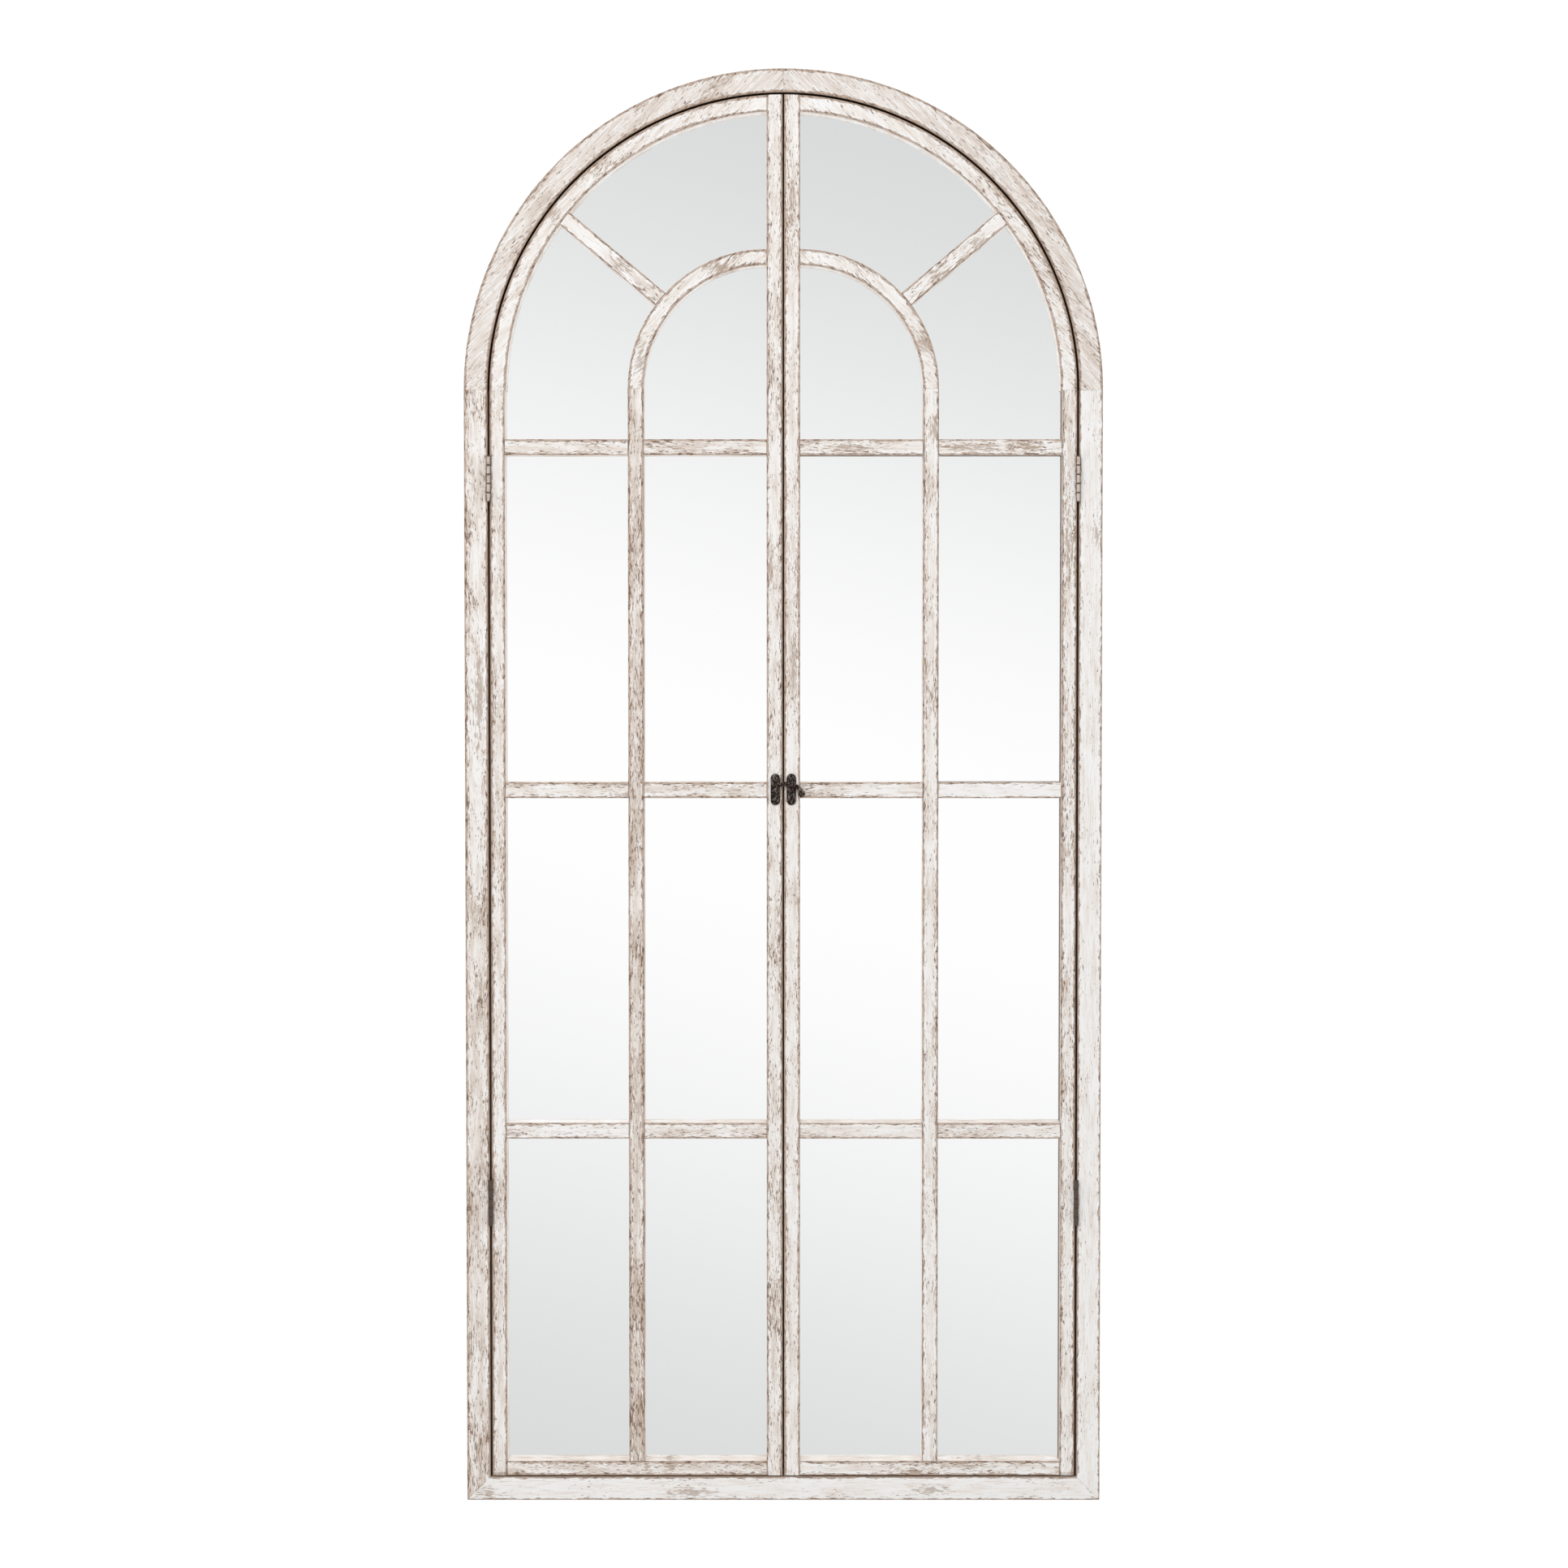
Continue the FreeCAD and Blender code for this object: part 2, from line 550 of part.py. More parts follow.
inner_arch_turn = quarter_bar("inner_arch_turn", INNER_ARCH_INNER, INNER_ARCH_OUTER, MEETING_EDGE,
                              "dims.inner_arch_base")
arch_rail_turn = quarter_bar("arch_rail_turn", ARCH_INNER, LEAF, "0", SPRING)


def end_tenon(name, half_height, level):
    """A stub tenon that runs from a curved bar's end into the meeting stile."""
    return box(name, "dims.tenon_length", "dims.tenon_thickness", "2 * " + half_height,
               MEETING_EDGE + " - dims.tenon_length", LEAF_MIDDLE + " - dims.tenon_thickness / 2",
               "%s - %s" % (level, half_height))


inner_arch_tenon = end_tenon("inner_arch_tenon", "(dims.bar_width / 2 - dims.tenon_shoulder)",
                             "dims.inner_arch_base + (%s + %s) / 2" % (INNER_ARCH_INNER, INNER_ARCH_OUTER))
arch_rail_tenon = end_tenon("arch_rail_tenon", "(dims.arch_rail_width / 2 - dims.arch_tenon_shoulder)",
                            "%s + (%s + %s) / 2" % (SPRING, ARCH_INNER, LEAF))
centre_block = box("centre_block", MEETING_EDGE, "dims.casing_depth", LEAF,
                   "0", "-dims.casing_depth", SPRING)
arch_rail_trimmed = cut("arch_rail_trimmed", arch_rail_turn, [centre_block])
arch_rail_whole = fuse("arch_rail_whole", [arch_rail_trimmed, arch_rail_tenon])
inner_arch_whole = fuse("inner_arch_whole", [inner_arch_turn, inner_arch_tenon])

# the fan bar runs on a ray of the inner arch, coped to both arches
fan_start = value(INNER_ARCH_OUTER)
fan_degrees = value("dims.fan_angle")
fan_ray = math.radians(fan_degrees)
fan_x = value(MEETING_EDGE)
fan_z = value("dims.inner_arch_base")
fan_long = straight_bar("fan_long", "dims.bar_width", LEAF, False, False)
turn(fan_long, fan_x, 0, fan_z, 90 - fan_degrees)
fan_ring = cylinder("fan_ring", ARCH_INNER, LEAF_THICKNESS)
turn(fan_ring, 0, -value("dims.leaf_front"), spring, -90, Vector(1, 0, 0))
fan_hollow = cylinder("fan_hollow", INNER_ARCH_OUTER, LEAF_THICKNESS)
turn(fan_hollow, fan_x, -value("dims.leaf_front"), fan_z, -90, Vector(1, 0, 0))
fan_outer = doc.addObject("Part::Common", "fan_outer")
fan_outer.Base = fan_long
fan_outer.Tool = fan_ring
fan_coped = cut("fan_coped", fan_outer, [fan_hollow])
fan_reach = math.sqrt(value(ARCH_INNER) ** 2 - (fan_x * math.sin(fan_ray)) ** 2)
fan_end = fan_reach - fan_x * math.cos(fan_ray)
fan_bite = value("dims.fan_tenon_length")
fan_tenon = box("fan_tenon", "dims.bar_width - 2 * dims.tenon_shoulder", "dims.tenon_thickness", LEAF)
fan_tenon.setExpression("Height", None)
fan_tenon.Height = fan_end - fan_start + 2 * fan_bite
fan_side = value("dims.bar_width / 2 - dims.tenon_shoulder")
fan_foot = fan_start - fan_bite
turn(fan_tenon,
     fan_x + fan_foot * math.cos(fan_ray) - fan_side * math.sin(fan_ray),
     value(LEAF_MIDDLE + " - dims.tenon_thickness / 2"),
     fan_z + fan_foot * math.sin(fan_ray) + fan_side * math.cos(fan_ray),
     90 - fan_degrees)
right_fan_bar = fuse("right_fan_bar", [fan_coped, fan_tenon])

# each member is mortised by the tenons of the ones that enter it
inner_ends = [transoms["right_%s_inner_transom" % level_name] for level_name in LEVELS]
outer_ends = [transoms["right_%s_outer_transom" % level_name] for level_name in LEVELS]
right_bottom_rail = cut("right_bottom_rail", right_bottom_rail_blank, [right_muntin_blank])
right_muntin = cut("right_muntin", right_muntin_blank, inner_ends + outer_ends)
right_inner_arch = cut("right_inner_arch", inner_arch_whole, [right_muntin_blank, right_fan_bar])
right_arch_rail = cut("right_arch_rail", arch_rail_whole, [hanging_blank, right_fan_bar])
right_hanging_stile = cut("right_hanging_stile", hanging_blank,
                          outer_ends + [right_bottom_rail_blank, right_door_hinge_screws])

# ---------------------------------------------------------------- latch
PIVOT_X = "dims.latch_offset"
plate_low = "dims.latch_level - dims.latch_plate_height / 2 + dims.latch_plate_width / 2"
plate_high = "dims.latch_level + dims.latch_plate_height / 2 - dims.latch_plate_width / 2"


def front_round(name, radius, height, x, base, level="dims.latch_level", sides=LATCH_SIDES):
    """A round bar that stands out towards the front from a depth."""
    return turn(turned(name, radius, height, sides), value(x), value(base), value(level), 90, Vector(1, 0, 0))


def stem(name, radius, x):
    """A shank from inside the stile to the front of the latch plate."""
    return front_round(name, radius, LEAF_THICKNESS + " - dims.hook_thickness + dims.latch_plate_thickness",
                       x, "-dims.leaf_back - dims.hook_thickness", sides=FASTENER_SIDES)


latch_blank = fuse("latch_blank", [
    box("latch_middle", "dims.latch_plate_width", "dims.latch_plate_thickness",
        "dims.latch_plate_height - dims.latch_plate_width",
        PIVOT_X + " - dims.latch_plate_width / 2", PLATE_FACE, plate_low),
    front_round("latch_low", "dims.latch_plate_width / 2", "dims.latch_plate_thickness", PIVOT_X,
                "-dims.leaf_front", plate_low),
    front_round("latch_high", "dims.latch_plate_width / 2", "dims.latch_plate_thickness", PIVOT_X,
                "-dims.leaf_front", plate_high)])
latch_screw_places = [(value(PIVOT_X), value(PLATE_FACE),
                       value("dims.latch_level") + side * value("dims.latch_screw_offset"),
                       Vector(1, 0, 0), 90) for side in (-1, 1)]
right_latch_screws = solids("right_latch_screws", copies("latch_screw", csk_screw, latch_screw_places))
left_latch_screws = mirror("left_latch_screws", right_latch_screws)

# the peg on the right plate: a shank in the stile, a collar and the bare peg
latch_peg = fuse("latch_peg", [
    stem("peg_shank", "dims.peg_radius", PIVOT_X),
    front_round("peg_collar", "dims.peg_collar", "dims.peg_collar_height", PIVOT_X, PLATE_FACE),
    front_round("peg_tip", "dims.peg_radius", "dims.peg_collar_height + dims.hook_gap + dims.hook_thickness",
                PIVOT_X, PLATE_FACE)])
right_latch_plate = cut("right_latch_plate", latch_blank, [right_latch_screws, latch_peg])

# the rivet on the left plate: shank in the stile, through the hook's eye, stepped head
RIVET_BACK = "(%s - dims.hook_thickness - dims.hook_gap)" % HOOK_BACK
latch_rivet = fuse("latch_rivet", [
    stem("rivet_shank", "dims.rivet_radius", "-" + PIVOT_X),
    front_round("rivet_collar", "dims.peg_collar", "dims.peg_collar_height", "-" + PIVOT_X, PLATE_FACE),
    front_round("rivet_neck", "dims.rivet_radius",
                "dims.peg_collar_height + 2 * dims.hook_gap + dims.hook_thickness", "-" + PIVOT_X, PLATE_FACE),
    front_round("rivet_rim", "dims.rivet_head", "dims.rivet_rise / 2", "-" + PIVOT_X, RIVET_BACK),
    front_round("rivet_crown", "dims.rivet_head * 2 / 3", "dims.rivet_rise", "-" + PIVOT_X, RIVET_BACK)])
left_latch_blank = mirror("left_latch_blank", latch_blank)
left_latch_plate = cut("left_latch_plate", left_latch_blank, [left_latch_screws, latch_rivet])


# shape of the hook, as shares of its own sizes: (across, up) from each named point
HOOK_BULB_TOP = (0.6, 0.8)
HOOK_BULB_SIDE = (-0.9, 0.4)
HOOK_EYE_UNDER = (0.8, 0.6)
HOOK_CREST = 0.66
HOOK_SEAT = (1.4, 1.3)
HOOK_THROAT = 0.15
HOOK_HEEL = 0.2
HOOK_ARC_POINTS = 10


def hook_point(across, up):
    return Vector(across, 0, up)


def flat_disc(centre, radius):
    """The edge of a disc in the hook's plane, as a closed line with flats."""
    turns = [2 * math.pi * step / LATCH_SIDES for step in range(LATCH_SIDES + 1)]
    return Part.makePolygon([centre + hook_point(radius * math.cos(turn_by), radius * math.sin(turn_by))
                             for turn_by in turns])


def make_hook():
    """The hook about its pivot: an eye on the rivet, an arm that arches over the peg
    and rests on it with a flat seat, and a drooping bulb past the peg."""
    eye = value("dims.eye_radius")
    peg = value("2 * dims.latch_offset")
    rest = value("dims.peg_radius + dims.hook_rest")
    bulb = value("dims.hook_bulb")
    rise = value("dims.hook_rise")
    bulb_centre = hook_point(peg + value("dims.hook_past"), -value("dims.hook_droop"))
    bulb_out = bulb_centre + hook_point(*HOOK_BULB_TOP) * bulb
    bulb_in = bulb_centre + hook_point(*HOOK_BULB_SIDE) * bulb
    eye_over = hook_point(0, eye)
    eye_under = hook_point(*HOOK_EYE_UNDER) * eye
    crest = hook_point(peg * HOOK_CREST, rise)
    seat_left = hook_point(peg - HOOK_SEAT[0] * rest, rest)
    seat_right = hook_point(peg + HOOK_SEAT[1] * rest, rest)
    throat = (eye_under + seat_left) * 0.5 + hook_point(0, rise * HOOK_THROAT)
    heel = (seat_right + bulb_in) * 0.5 + hook_point(HOOK_HEEL, HOOK_HEEL) * bulb
    edge = Part.Arc(eye_over, crest, bulb_out).discretize(2 * HOOK_ARC_POINTS) + [bulb_centre]
    edge += Part.Arc(bulb_in, heel, seat_right).discretize(HOOK_ARC_POINTS)
    edge += Part.Arc(seat_left, throat, eye_under).discretize(HOOK_ARC_POINTS) + [Vector(), eye_over]
    forwards = Vector(0, -value("dims.hook_thickness"), 0)
    arm, eye_disc, bulb_disc, bore = [Part.Face(line).extrude(forwards) for line in (
        Part.makePolygon(edge), flat_disc(Vector(), eye), flat_disc(bulb_centre, bulb),
        flat_disc(Vector(), value("(dims.rivet_radius + dims.pin_fit) / cos(180 / %d)" % LATCH_SIDES)))]
    return arm.fuse([eye_disc, bulb_disc]).removeSplitter().cut(bore)


latch_hook = doc.addObject("Part::Feature", "latch_hook")
latch_hook.Shape = make_hook()
turn(latch_hook, -value(PIVOT_X), value(HOOK_BACK), value("dims.latch_level"), 0)

# ---------------------------------------------------------------- the stiles that meet
stile_bars = inner_ends + [right_bottom_rail_blank, arch_rail_tenon, inner_arch_tenon, right_latch_screws]
right_meeting_stile = cut("right_meeting_stile", meeting_shaped, stile_bars + [latch_peg])
left_meeting_blank = mirror("left_meeting_blank", cut("left_meeting_source", meeting_shaped, stile_bars))
left_meeting_stile = cut("left_meeting_stile", left_meeting_blank, [latch_rivet])

# ---------------------------------------------------------------- sub-parts by name
subparts = {
    "left_jamb": left_jamb, "right_jamb": right_jamb, "sill": sill,
    "left_arch_half": left_arch_half, "right_arch_half": right_arch_half,
    "casing_dowels": casing_dowels, "mirror_glass": mirror_glass, "backing_board": backing_board,
    "backing_tabs": backing_tabs, "centre_strip": centre_strip,
    "hanger_plates": hanger_plates, "hanger_screws": hanger_screws,
    "frame_hinge_screws": frame_hinge_screws,
    "left_door_hinge_screws": left_door_hinge_screws,
    "right_door_hinge_screws": right_door_hinge_screws,
    "left_meeting_stile": left_meeting_stile, "right_meeting_stile": right_meeting_stile,
    "left_latch_plate": left_latch_plate, "right_latch_plate": right_latch_plate,
    "left_latch_screws": left_latch_screws, "right_latch_screws": right_latch_screws,
    "latch_rivet": latch_rivet, "latch_peg": latch_peg, "latch_hook": latch_hook,
}
subparts.update(hinges)
right_members = {"right_bottom_rail": right_bottom_rail, "right_muntin": right_muntin,
                 "right_inner_arch": right_inner_arch, "right_arch_rail": right_arch_rail,
                 "right_hanging_stile": right_hanging_stile, "right_fan_bar": right_fan_bar}
right_members.update(transoms)
for right_name, member in right_members.items():
    left_name = right_name.replace("right_", "left_")
    subparts[right_name] = member
    subparts[left_name] = mirror(left_name, member)

for name, member in subparts.items():
    member.Label = name
doc.recompute()

# ---------------------------------------------------------------- check and write
failed = [obj.Name for obj in doc.Objects if "Invalid" in obj.State or "Error" in obj.State]
if failed:
    raise RuntimeError("failed objects: " + ", ".join(failed))
for name, member in subparts.items():
    shape = member.Shape
    if shape.isNull() or not shape.isValid() or not shape.Solids:
        raise RuntimeError("bad shape: " + name)

os.makedirs("parts", exist_ok=True)
for name, member in subparts.items():
    member.Shape.exportStep(os.path.join("parts", name + ".step"))
print("%d sub-parts, %.1f cm3 of material" % (len(subparts), sum(m.Shape.Volume for m in subparts.values()) / 1000))
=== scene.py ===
"""Arched window mirror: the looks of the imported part.

A whitewashed wooden window casing with two openwork leaves, dark iron latch and
butt hinges, round one sheet of silvered glass.  Frame: +X right, the front faces
-Y, +Z up, in metres; names that end in _mm hold millimetres.
"""
import math
from collections import namedtuple

import bpy
from bpy.props import FloatProperty, FloatVectorProperty, PointerProperty
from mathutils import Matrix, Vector


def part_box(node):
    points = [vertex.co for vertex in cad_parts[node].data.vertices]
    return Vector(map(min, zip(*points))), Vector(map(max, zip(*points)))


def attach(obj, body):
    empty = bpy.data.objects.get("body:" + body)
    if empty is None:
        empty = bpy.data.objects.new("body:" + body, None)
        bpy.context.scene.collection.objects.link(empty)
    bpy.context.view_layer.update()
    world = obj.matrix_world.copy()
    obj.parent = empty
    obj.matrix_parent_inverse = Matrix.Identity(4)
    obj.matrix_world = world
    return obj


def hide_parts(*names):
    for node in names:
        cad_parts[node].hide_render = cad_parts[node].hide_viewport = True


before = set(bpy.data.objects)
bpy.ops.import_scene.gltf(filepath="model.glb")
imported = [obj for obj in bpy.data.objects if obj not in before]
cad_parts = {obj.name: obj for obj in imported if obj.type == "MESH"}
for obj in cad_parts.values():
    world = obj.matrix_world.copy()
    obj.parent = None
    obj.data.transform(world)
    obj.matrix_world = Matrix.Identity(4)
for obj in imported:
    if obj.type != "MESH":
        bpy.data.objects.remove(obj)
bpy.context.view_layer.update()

bl_info = {
    "name": "Arched window mirror",
    "version": (1, 0, 0),
    "blender": (4, 5, 0),
    "location": "3D View > Sidebar > Mirror",
    "description": "Finishes, hardware and studio for the arched window mirror",
    "category": "Object",
}

MM = 0.001
WHITE = (1.0, 1.0, 1.0, 1.0)
SEED_STEPS = (7.31, 3.77, 5.19)


# ---------------------------------------------------------------- colours and nodes
def linear(text, alpha=True):
    """An sRGB hex colour as linear numbers."""
    channels = [int(text[start:start + 2], 16) / 255 for start in (1, 3, 5)]
    straight = [c / 12.92 if c <= 0.04045 else ((c + 0.055) / 1.055) ** 2.4 for c in channels]
    return tuple(straight) + ((1.0,) if alpha else ())


def add(tree, kind, links=None, **settings):
    """Add a node: settings are its properties, links its inputs by name or number.
    The setting stops holds a colour ramp's (position, colour) pairs."""
    made = tree.nodes.new(kind)
    stops = settings.pop("stops", ())
    for name, setting in settings.items():
        setattr(made, name, setting)
    for number, (position, colour) in enumerate(stops):
        ramp = made.color_ramp.elements
        stop = ramp[number] if number < len(ramp) else ramp.new(position)
        stop.position = position
        stop.color = colour
    for key, source in (links or {}).items():
        if isinstance(source, bpy.types.NodeSocket):
            tree.links.new(source, made.inputs[key])
        else:
            made.inputs[key].default_value = source
    return made


def blank_material(name):
    """A material with an empty node tree."""
    material = bpy.data.materials.new(name)
    material.use_nodes = True
    material.node_tree.nodes.clear()
    return material, material.node_tree


def finish_with(tree, shader):
    """Put a shader on the material's surface."""
    add(tree, "ShaderNodeOutputMaterial", {"Surface": shader.outputs[0]})


def in_mm(tree):
    """Object space in millimetres."""
    coords = add(tree, "ShaderNodeTexCoord").outputs["Object"]
    return add(tree, "ShaderNodeMapping", {"Vector": coords, "Scale": (1 / MM,) * 3}).outputs[0]


def pattern(tree, place, size_mm, seed, detail=3.0):
    """Soft noise with features of the given sizes in x, y and z; seeds give other marks."""
    shift = [seed * step for step in SEED_STEPS]
    scaled = add(tree, "ShaderNodeVectorMath", {
        0: place, 1: [1 / size for size in size_mm], 2: shift}, operation="MULTIPLY_ADD")
    return add(tree, "ShaderNodeTexNoise", {
        "Vector": scaled.outputs[0], "Scale": 1.0, "Detail": detail, "Roughness": 0.6}).outputs[0]


def calc(tree, operation, *terms):
    """One step of arithmetic on sockets and numbers."""
    return add(tree, "ShaderNodeMath", dict(enumerate(terms)), operation=operation).outputs[0]


def weighted(tree, start, *terms):
    """Start, and each term's socket times its weight, added up."""
    total = start
    for socket, weight in terms:
        total = calc(tree, "MULTIPLY_ADD", socket, weight, total)
    return total


def between(tree, source, low, high, top=1.0):
    """A smooth rise from 0 to top as the source goes from low to high."""
    return add(tree, "ShaderNodeMapRange", {
        "Value": source, "From Min": low, "From Max": high, "To Max": top},
        interpolation_type="SMOOTHSTEP").outputs[0]


def layer(tree, share, under, over):
    """One coat of colour over another, where share says."""
    return add(tree, "ShaderNodeMix", {0: share, 6: under, 7: over}, data_type="RGBA").outputs[2]


def opaque(colour):
    """A colour setting with full alpha."""
    return tuple(colour) + (1.0,)


def give(name, material):
    """Give a CAD node a material on every slot."""
    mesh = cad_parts[name].data
    mesh.materials.clear()
    mesh.materials.append(material)


# ---------------------------------------------------------------- settings
def colour_setting(name, description, text):
    """A colour that a user may change, with its default as sRGB hex."""
    return FloatVectorProperty(name=name, description=description, subtype="COLOR", size=3,
                               min=0.0, max=1.0, default=linear(text, alpha=False))


class WhitewashSettings(bpy.types.PropertyGroup):
    """Limewash rubbed thin over fir, the finish of the casing and both leaves."""
    paint: colour_setting("Paint", "Limewash where it is thick", "#F4F3F2")
    cream: colour_setting("Cream", "Limewash that the wood just warms", "#EEE8E3")
    warm: colour_setting("Warm", "Limewash that lets the wood through", "#DFD6CE")
    taupe: colour_setting("Taupe", "Thin wash over bare wood", "#D3C6BB")
    thin: colour_setting("Thin", "The last of the wash in the grain", "#BBA798")
    brown: colour_setting("Brown", "Wood stained brown where it is rubbed bare", "#A08873")
    dark: colour_setting("Dark flecks", "Open grain and scratches", "#7A6150")
    # gap is painted shade: the dark colour stands in for the shade deep in the gaps and on the reveals in
    # shade
    gap: colour_setting("Gap", "Dark stain on the edges inside the gaps", "#5C493D")
    bare: colour_setting("Bare wood", "Fir at the back, which got no wash", "#B29A82")
    wear: FloatProperty(name="Wear", description="How much paint is rubbed off", default=0.0,
                        min=-0.3, max=0.3)


class MirrorSettings(bpy.types.PropertyGroup):
    """The silvered glass."""
    tint: colour_setting("Tint", "Colour that the silvered glass gives its reflection", "#FCFCFC")
    roughness: FloatProperty(name="Roughness", description="Blur of the reflection", default=0.015,
                             min=0.0, max=1.0, subtype="FACTOR")
    returned: FloatProperty(name="Returned light", default=0.55, min=0.0, max=1.0, subtype="FACTOR",
                            description="Studio light sent back on the bars beside it")


class HardwareSettings(bpy.types.PropertyGroup):
    """Latch, hinges and what is fastened to the back."""
    iron: colour_setting("Iron", "Blackened iron of the latch", "#241915")
    scratch: colour_setting("Scratch", "Edges and scratches where the black is worn", "#8D8078")
    hinge: colour_setting("Hinge", "Aged brown of the lower hinges", "#55463B")
    zinc: colour_setting("Zinc", "Plated steel of tabs, hangers and screws", "#B9BBBA")


class StudioSettings(bpy.types.PropertyGroup):
    """Camera and light, as measured in the photograph."""
    distance: FloatProperty(name="Distance", description="Camera to the casing's front", default=4.6,
                            min=1.0, unit="LENGTH", subtype="DISTANCE")
    height: FloatProperty(name="Height", description="Camera above the floor", default=1.0828,
                          unit="LENGTH", subtype="DISTANCE")
    tilt: FloatProperty(name="Tilt", description="Camera's tilt down", default=math.radians(2.191),
                        unit="ROTATION", subtype="ANGLE")
    lens: FloatProperty(name="Lens", description="Focal length in mm on a 36 mm sensor", default=84.13,
                        min=10.0)
    ambient: FloatProperty(name="Ambient", description="Strength of the even studio light",
                           default=0.755, min=0.0)
    key: FloatProperty(name="Key", description="Power of the soft lamp above the camera, in watts",
                       default=60.0, min=0.0)


class MirrorSceneSettings(bpy.types.PropertyGroup):
    """All settings of the arched window mirror."""
    whitewash: PointerProperty(type=WhitewashSettings)
    mirror: PointerProperty(type=MirrorSettings)
    hardware: PointerProperty(type=HardwareSettings)
    studio: PointerProperty(type=StudioSettings)


# ---------------------------------------------------------------- timber members
# grain: degrees from +X; middle: (x, z) of the member or of its arc's centre;
# half: half its face width; length: between its shoulders, 0 for an arc; radius: to
# the middle of an arc, 0 for a straight one; depth: y of its front and its back;
# gap_side: (x, z) direction of the edge that faces a dark gap; mitre: whether a
# 45 degree bottom corner ends it
Timber = namedtuple("Timber", "grain middle half length radius depth gap_side mitre")

HALF_WIDTH_MM = 400.0
SPRING_MM = 1400.0
CASING_FACE_MM = 29.5
CASING_DEPTH_MM = (-35.0, 0.0)
LEAF_DEPTH_MM = (-34.5, -19.5)
MEETING_EDGE_MM = 21.0
INNER_ARCH_BASE_MM = 1402.0
INNER_ARCH_RADIUS_MM = 163.85
ARCH_RAIL_RADIUS_MM = 357.45
ARCH_RAIL_FACE_MM = 20.5
BAR_FACE_MM = 20.0
FAN_DEGREES = 40.0
FAN_SPAN_MM = (173.85, 330.9)
TENON_MM = 8.0

# how much lighter or browner than the rest a member came out
TONES = {
    "left_jamb": -0.05, "right_jamb": 0.08, "sill": 0.10,
    "left_arch_half": 0.01, "right_arch_half": 0.02,
    "left_hanging_stile": -0.02, "right_hanging_stile": 0.03,
    "left_meeting_stile": 0.01, "right_meeting_stile": 0.01,
    "left_muntin": -0.06, "right_muntin": 0.02, "left_bottom_rail": -0.03,
    "left_arch_rail": 0.03, "right_arch_rail": 0.03,
    "left_inner_arch": 0.02, "right_inner_arch": 0.02,
    "left_fan_bar": 0.03, "right_fan_bar": 0.03,
    "left_upper_outer_transom": -0.02, "left_lower_outer_transom": 0.07,
    "right_upper_outer_transom": 0.03, "right_middle_outer_transom": 0.10,
}

# members of the right leaf whose faces towards the panes lie in shade: the shade is painted on them in a
# dark colour
SHADED_REVEALS = {"right_hanging_stile", "right_upper_inner_transom", "right_upper_outer_transom",
                   "right_middle_outer_transom"}

# where hands, knots and damp darkened a member: (x, z, half width, half height) in mm
SMUDGES_MM = {
    "left_bottom_rail": ((-172, 43, 6, 6), (-145, 44, 9, 8)),
    "right_bottom_rail": ((166, 37, 8, 5), (239, 44, 26, 5)),
    "left_meeting_stile": ((-19, 969, 4, 16), (-16, 1178, 5, 30)),
    "right_meeting_stile": ((13, 1056, 5, 50), (10, 1633, 5, 40)),
    "sill": ((-376, 8, 14, 7), (-361, 29, 5, 5), (-117, 10, 30, 6), (188, 13, 24, 6)),
    "left_jamb": ((-382, 10, 8, 12), (-382, 1015, 7, 60)),
    "left_arch_rail": ((-288, 1619, 10, 10),),
    "left_inner_arch": ((-179, 1444, 7, 26), (-80, 1552, 18, 8)),
    "left_fan_bar": ((-201, 1558, 16, 14),),
    "right_inner_arch": ((178, 1461, 10, 16),),
    "right_muntin": ((190, 1351, 7, 20),),
    "right_fan_bar": ((196, 1545, 14, 12), (244, 1583, 12, 10)),
    "right_jamb": ((393, 1220, 6, 16), (392, 1416, 9, 20)),
    "right_hanging_stile": ((358, 1209, 7, 44),),
    "right_upper_outer_transom": ((239, 1329, 30, 6), (311, 1329, 18, 6)),
    "right_upper_inner_transom": ((76, 1329, 30, 5),),
}

# where the wash went on thick: (x, z, half width, half height) in mm
THICK_MM = {
    "left_jamb": ((-384, 1000, 15, 250), (-384, 1370, 15, 60)),
    "left_hanging_stile": ((-361, 490, 12, 60),),
}

# the marks of brush and sandpaper: size in mm along, into and across the grain, what is
# added to the member's seed, and detail.  Real specks and brush hairs are 0.3 to 0.8 mm
# wide: here they are 1.2 to 1.6 mm, as coarse as they need to be to show in the render
MARKS = {
    "worn": ((90, 40, 26), 0, 4),
    "clouds": ((52, 20, 7), 31, 4),
    "ragged": ((14, 9, 7), 61, 4),
    "specks": ((9, 4, 1.5), 41, 3),
    "hairs": ((24, 6, 1.2), 71, 3),
    "flecks": ((8, 5, 1.6), 53, 3),
}
SEED_OF_NEXT_MEMBER = 3.1

# what makes the wash thick: the large and the small clouds, the ridge inside an arris,
# a thick spot, and the same everywhere
WORN_SHARE = 0.2
CLOUD_SHARE = 0.72
RIDGE_SHARE = 0.08
THICK_SHARE = 0.09
EVEN_SHARE = 0.03

# the wash from thinnest to thickest: the tone from which each colour of it counts
WASH_STOPS = ((0.22, "thin"), (0.30, "taupe"), (0.40, "warm"), (0.49, "cream"), (0.62, "paint"))

# where a mark starts, where it is full and, third, how strong it gets
THICK_SPOT = (1.2, 0.6)
BARED = (0.11, 0.17, 0.7)
BRUSHED = (0.55, 0.65, 0.6)
OPEN_GRAIN = (0.52, 0.46, 0.45)
FLECKED = (0.37, 0.41, 0.85)
SMUDGED = (0.34, 0.43, 0.6)
ARRIS_DOTS = (0.50, 0.60)
WASH_ON_BACK = (0.70, 0.58, 0.9)

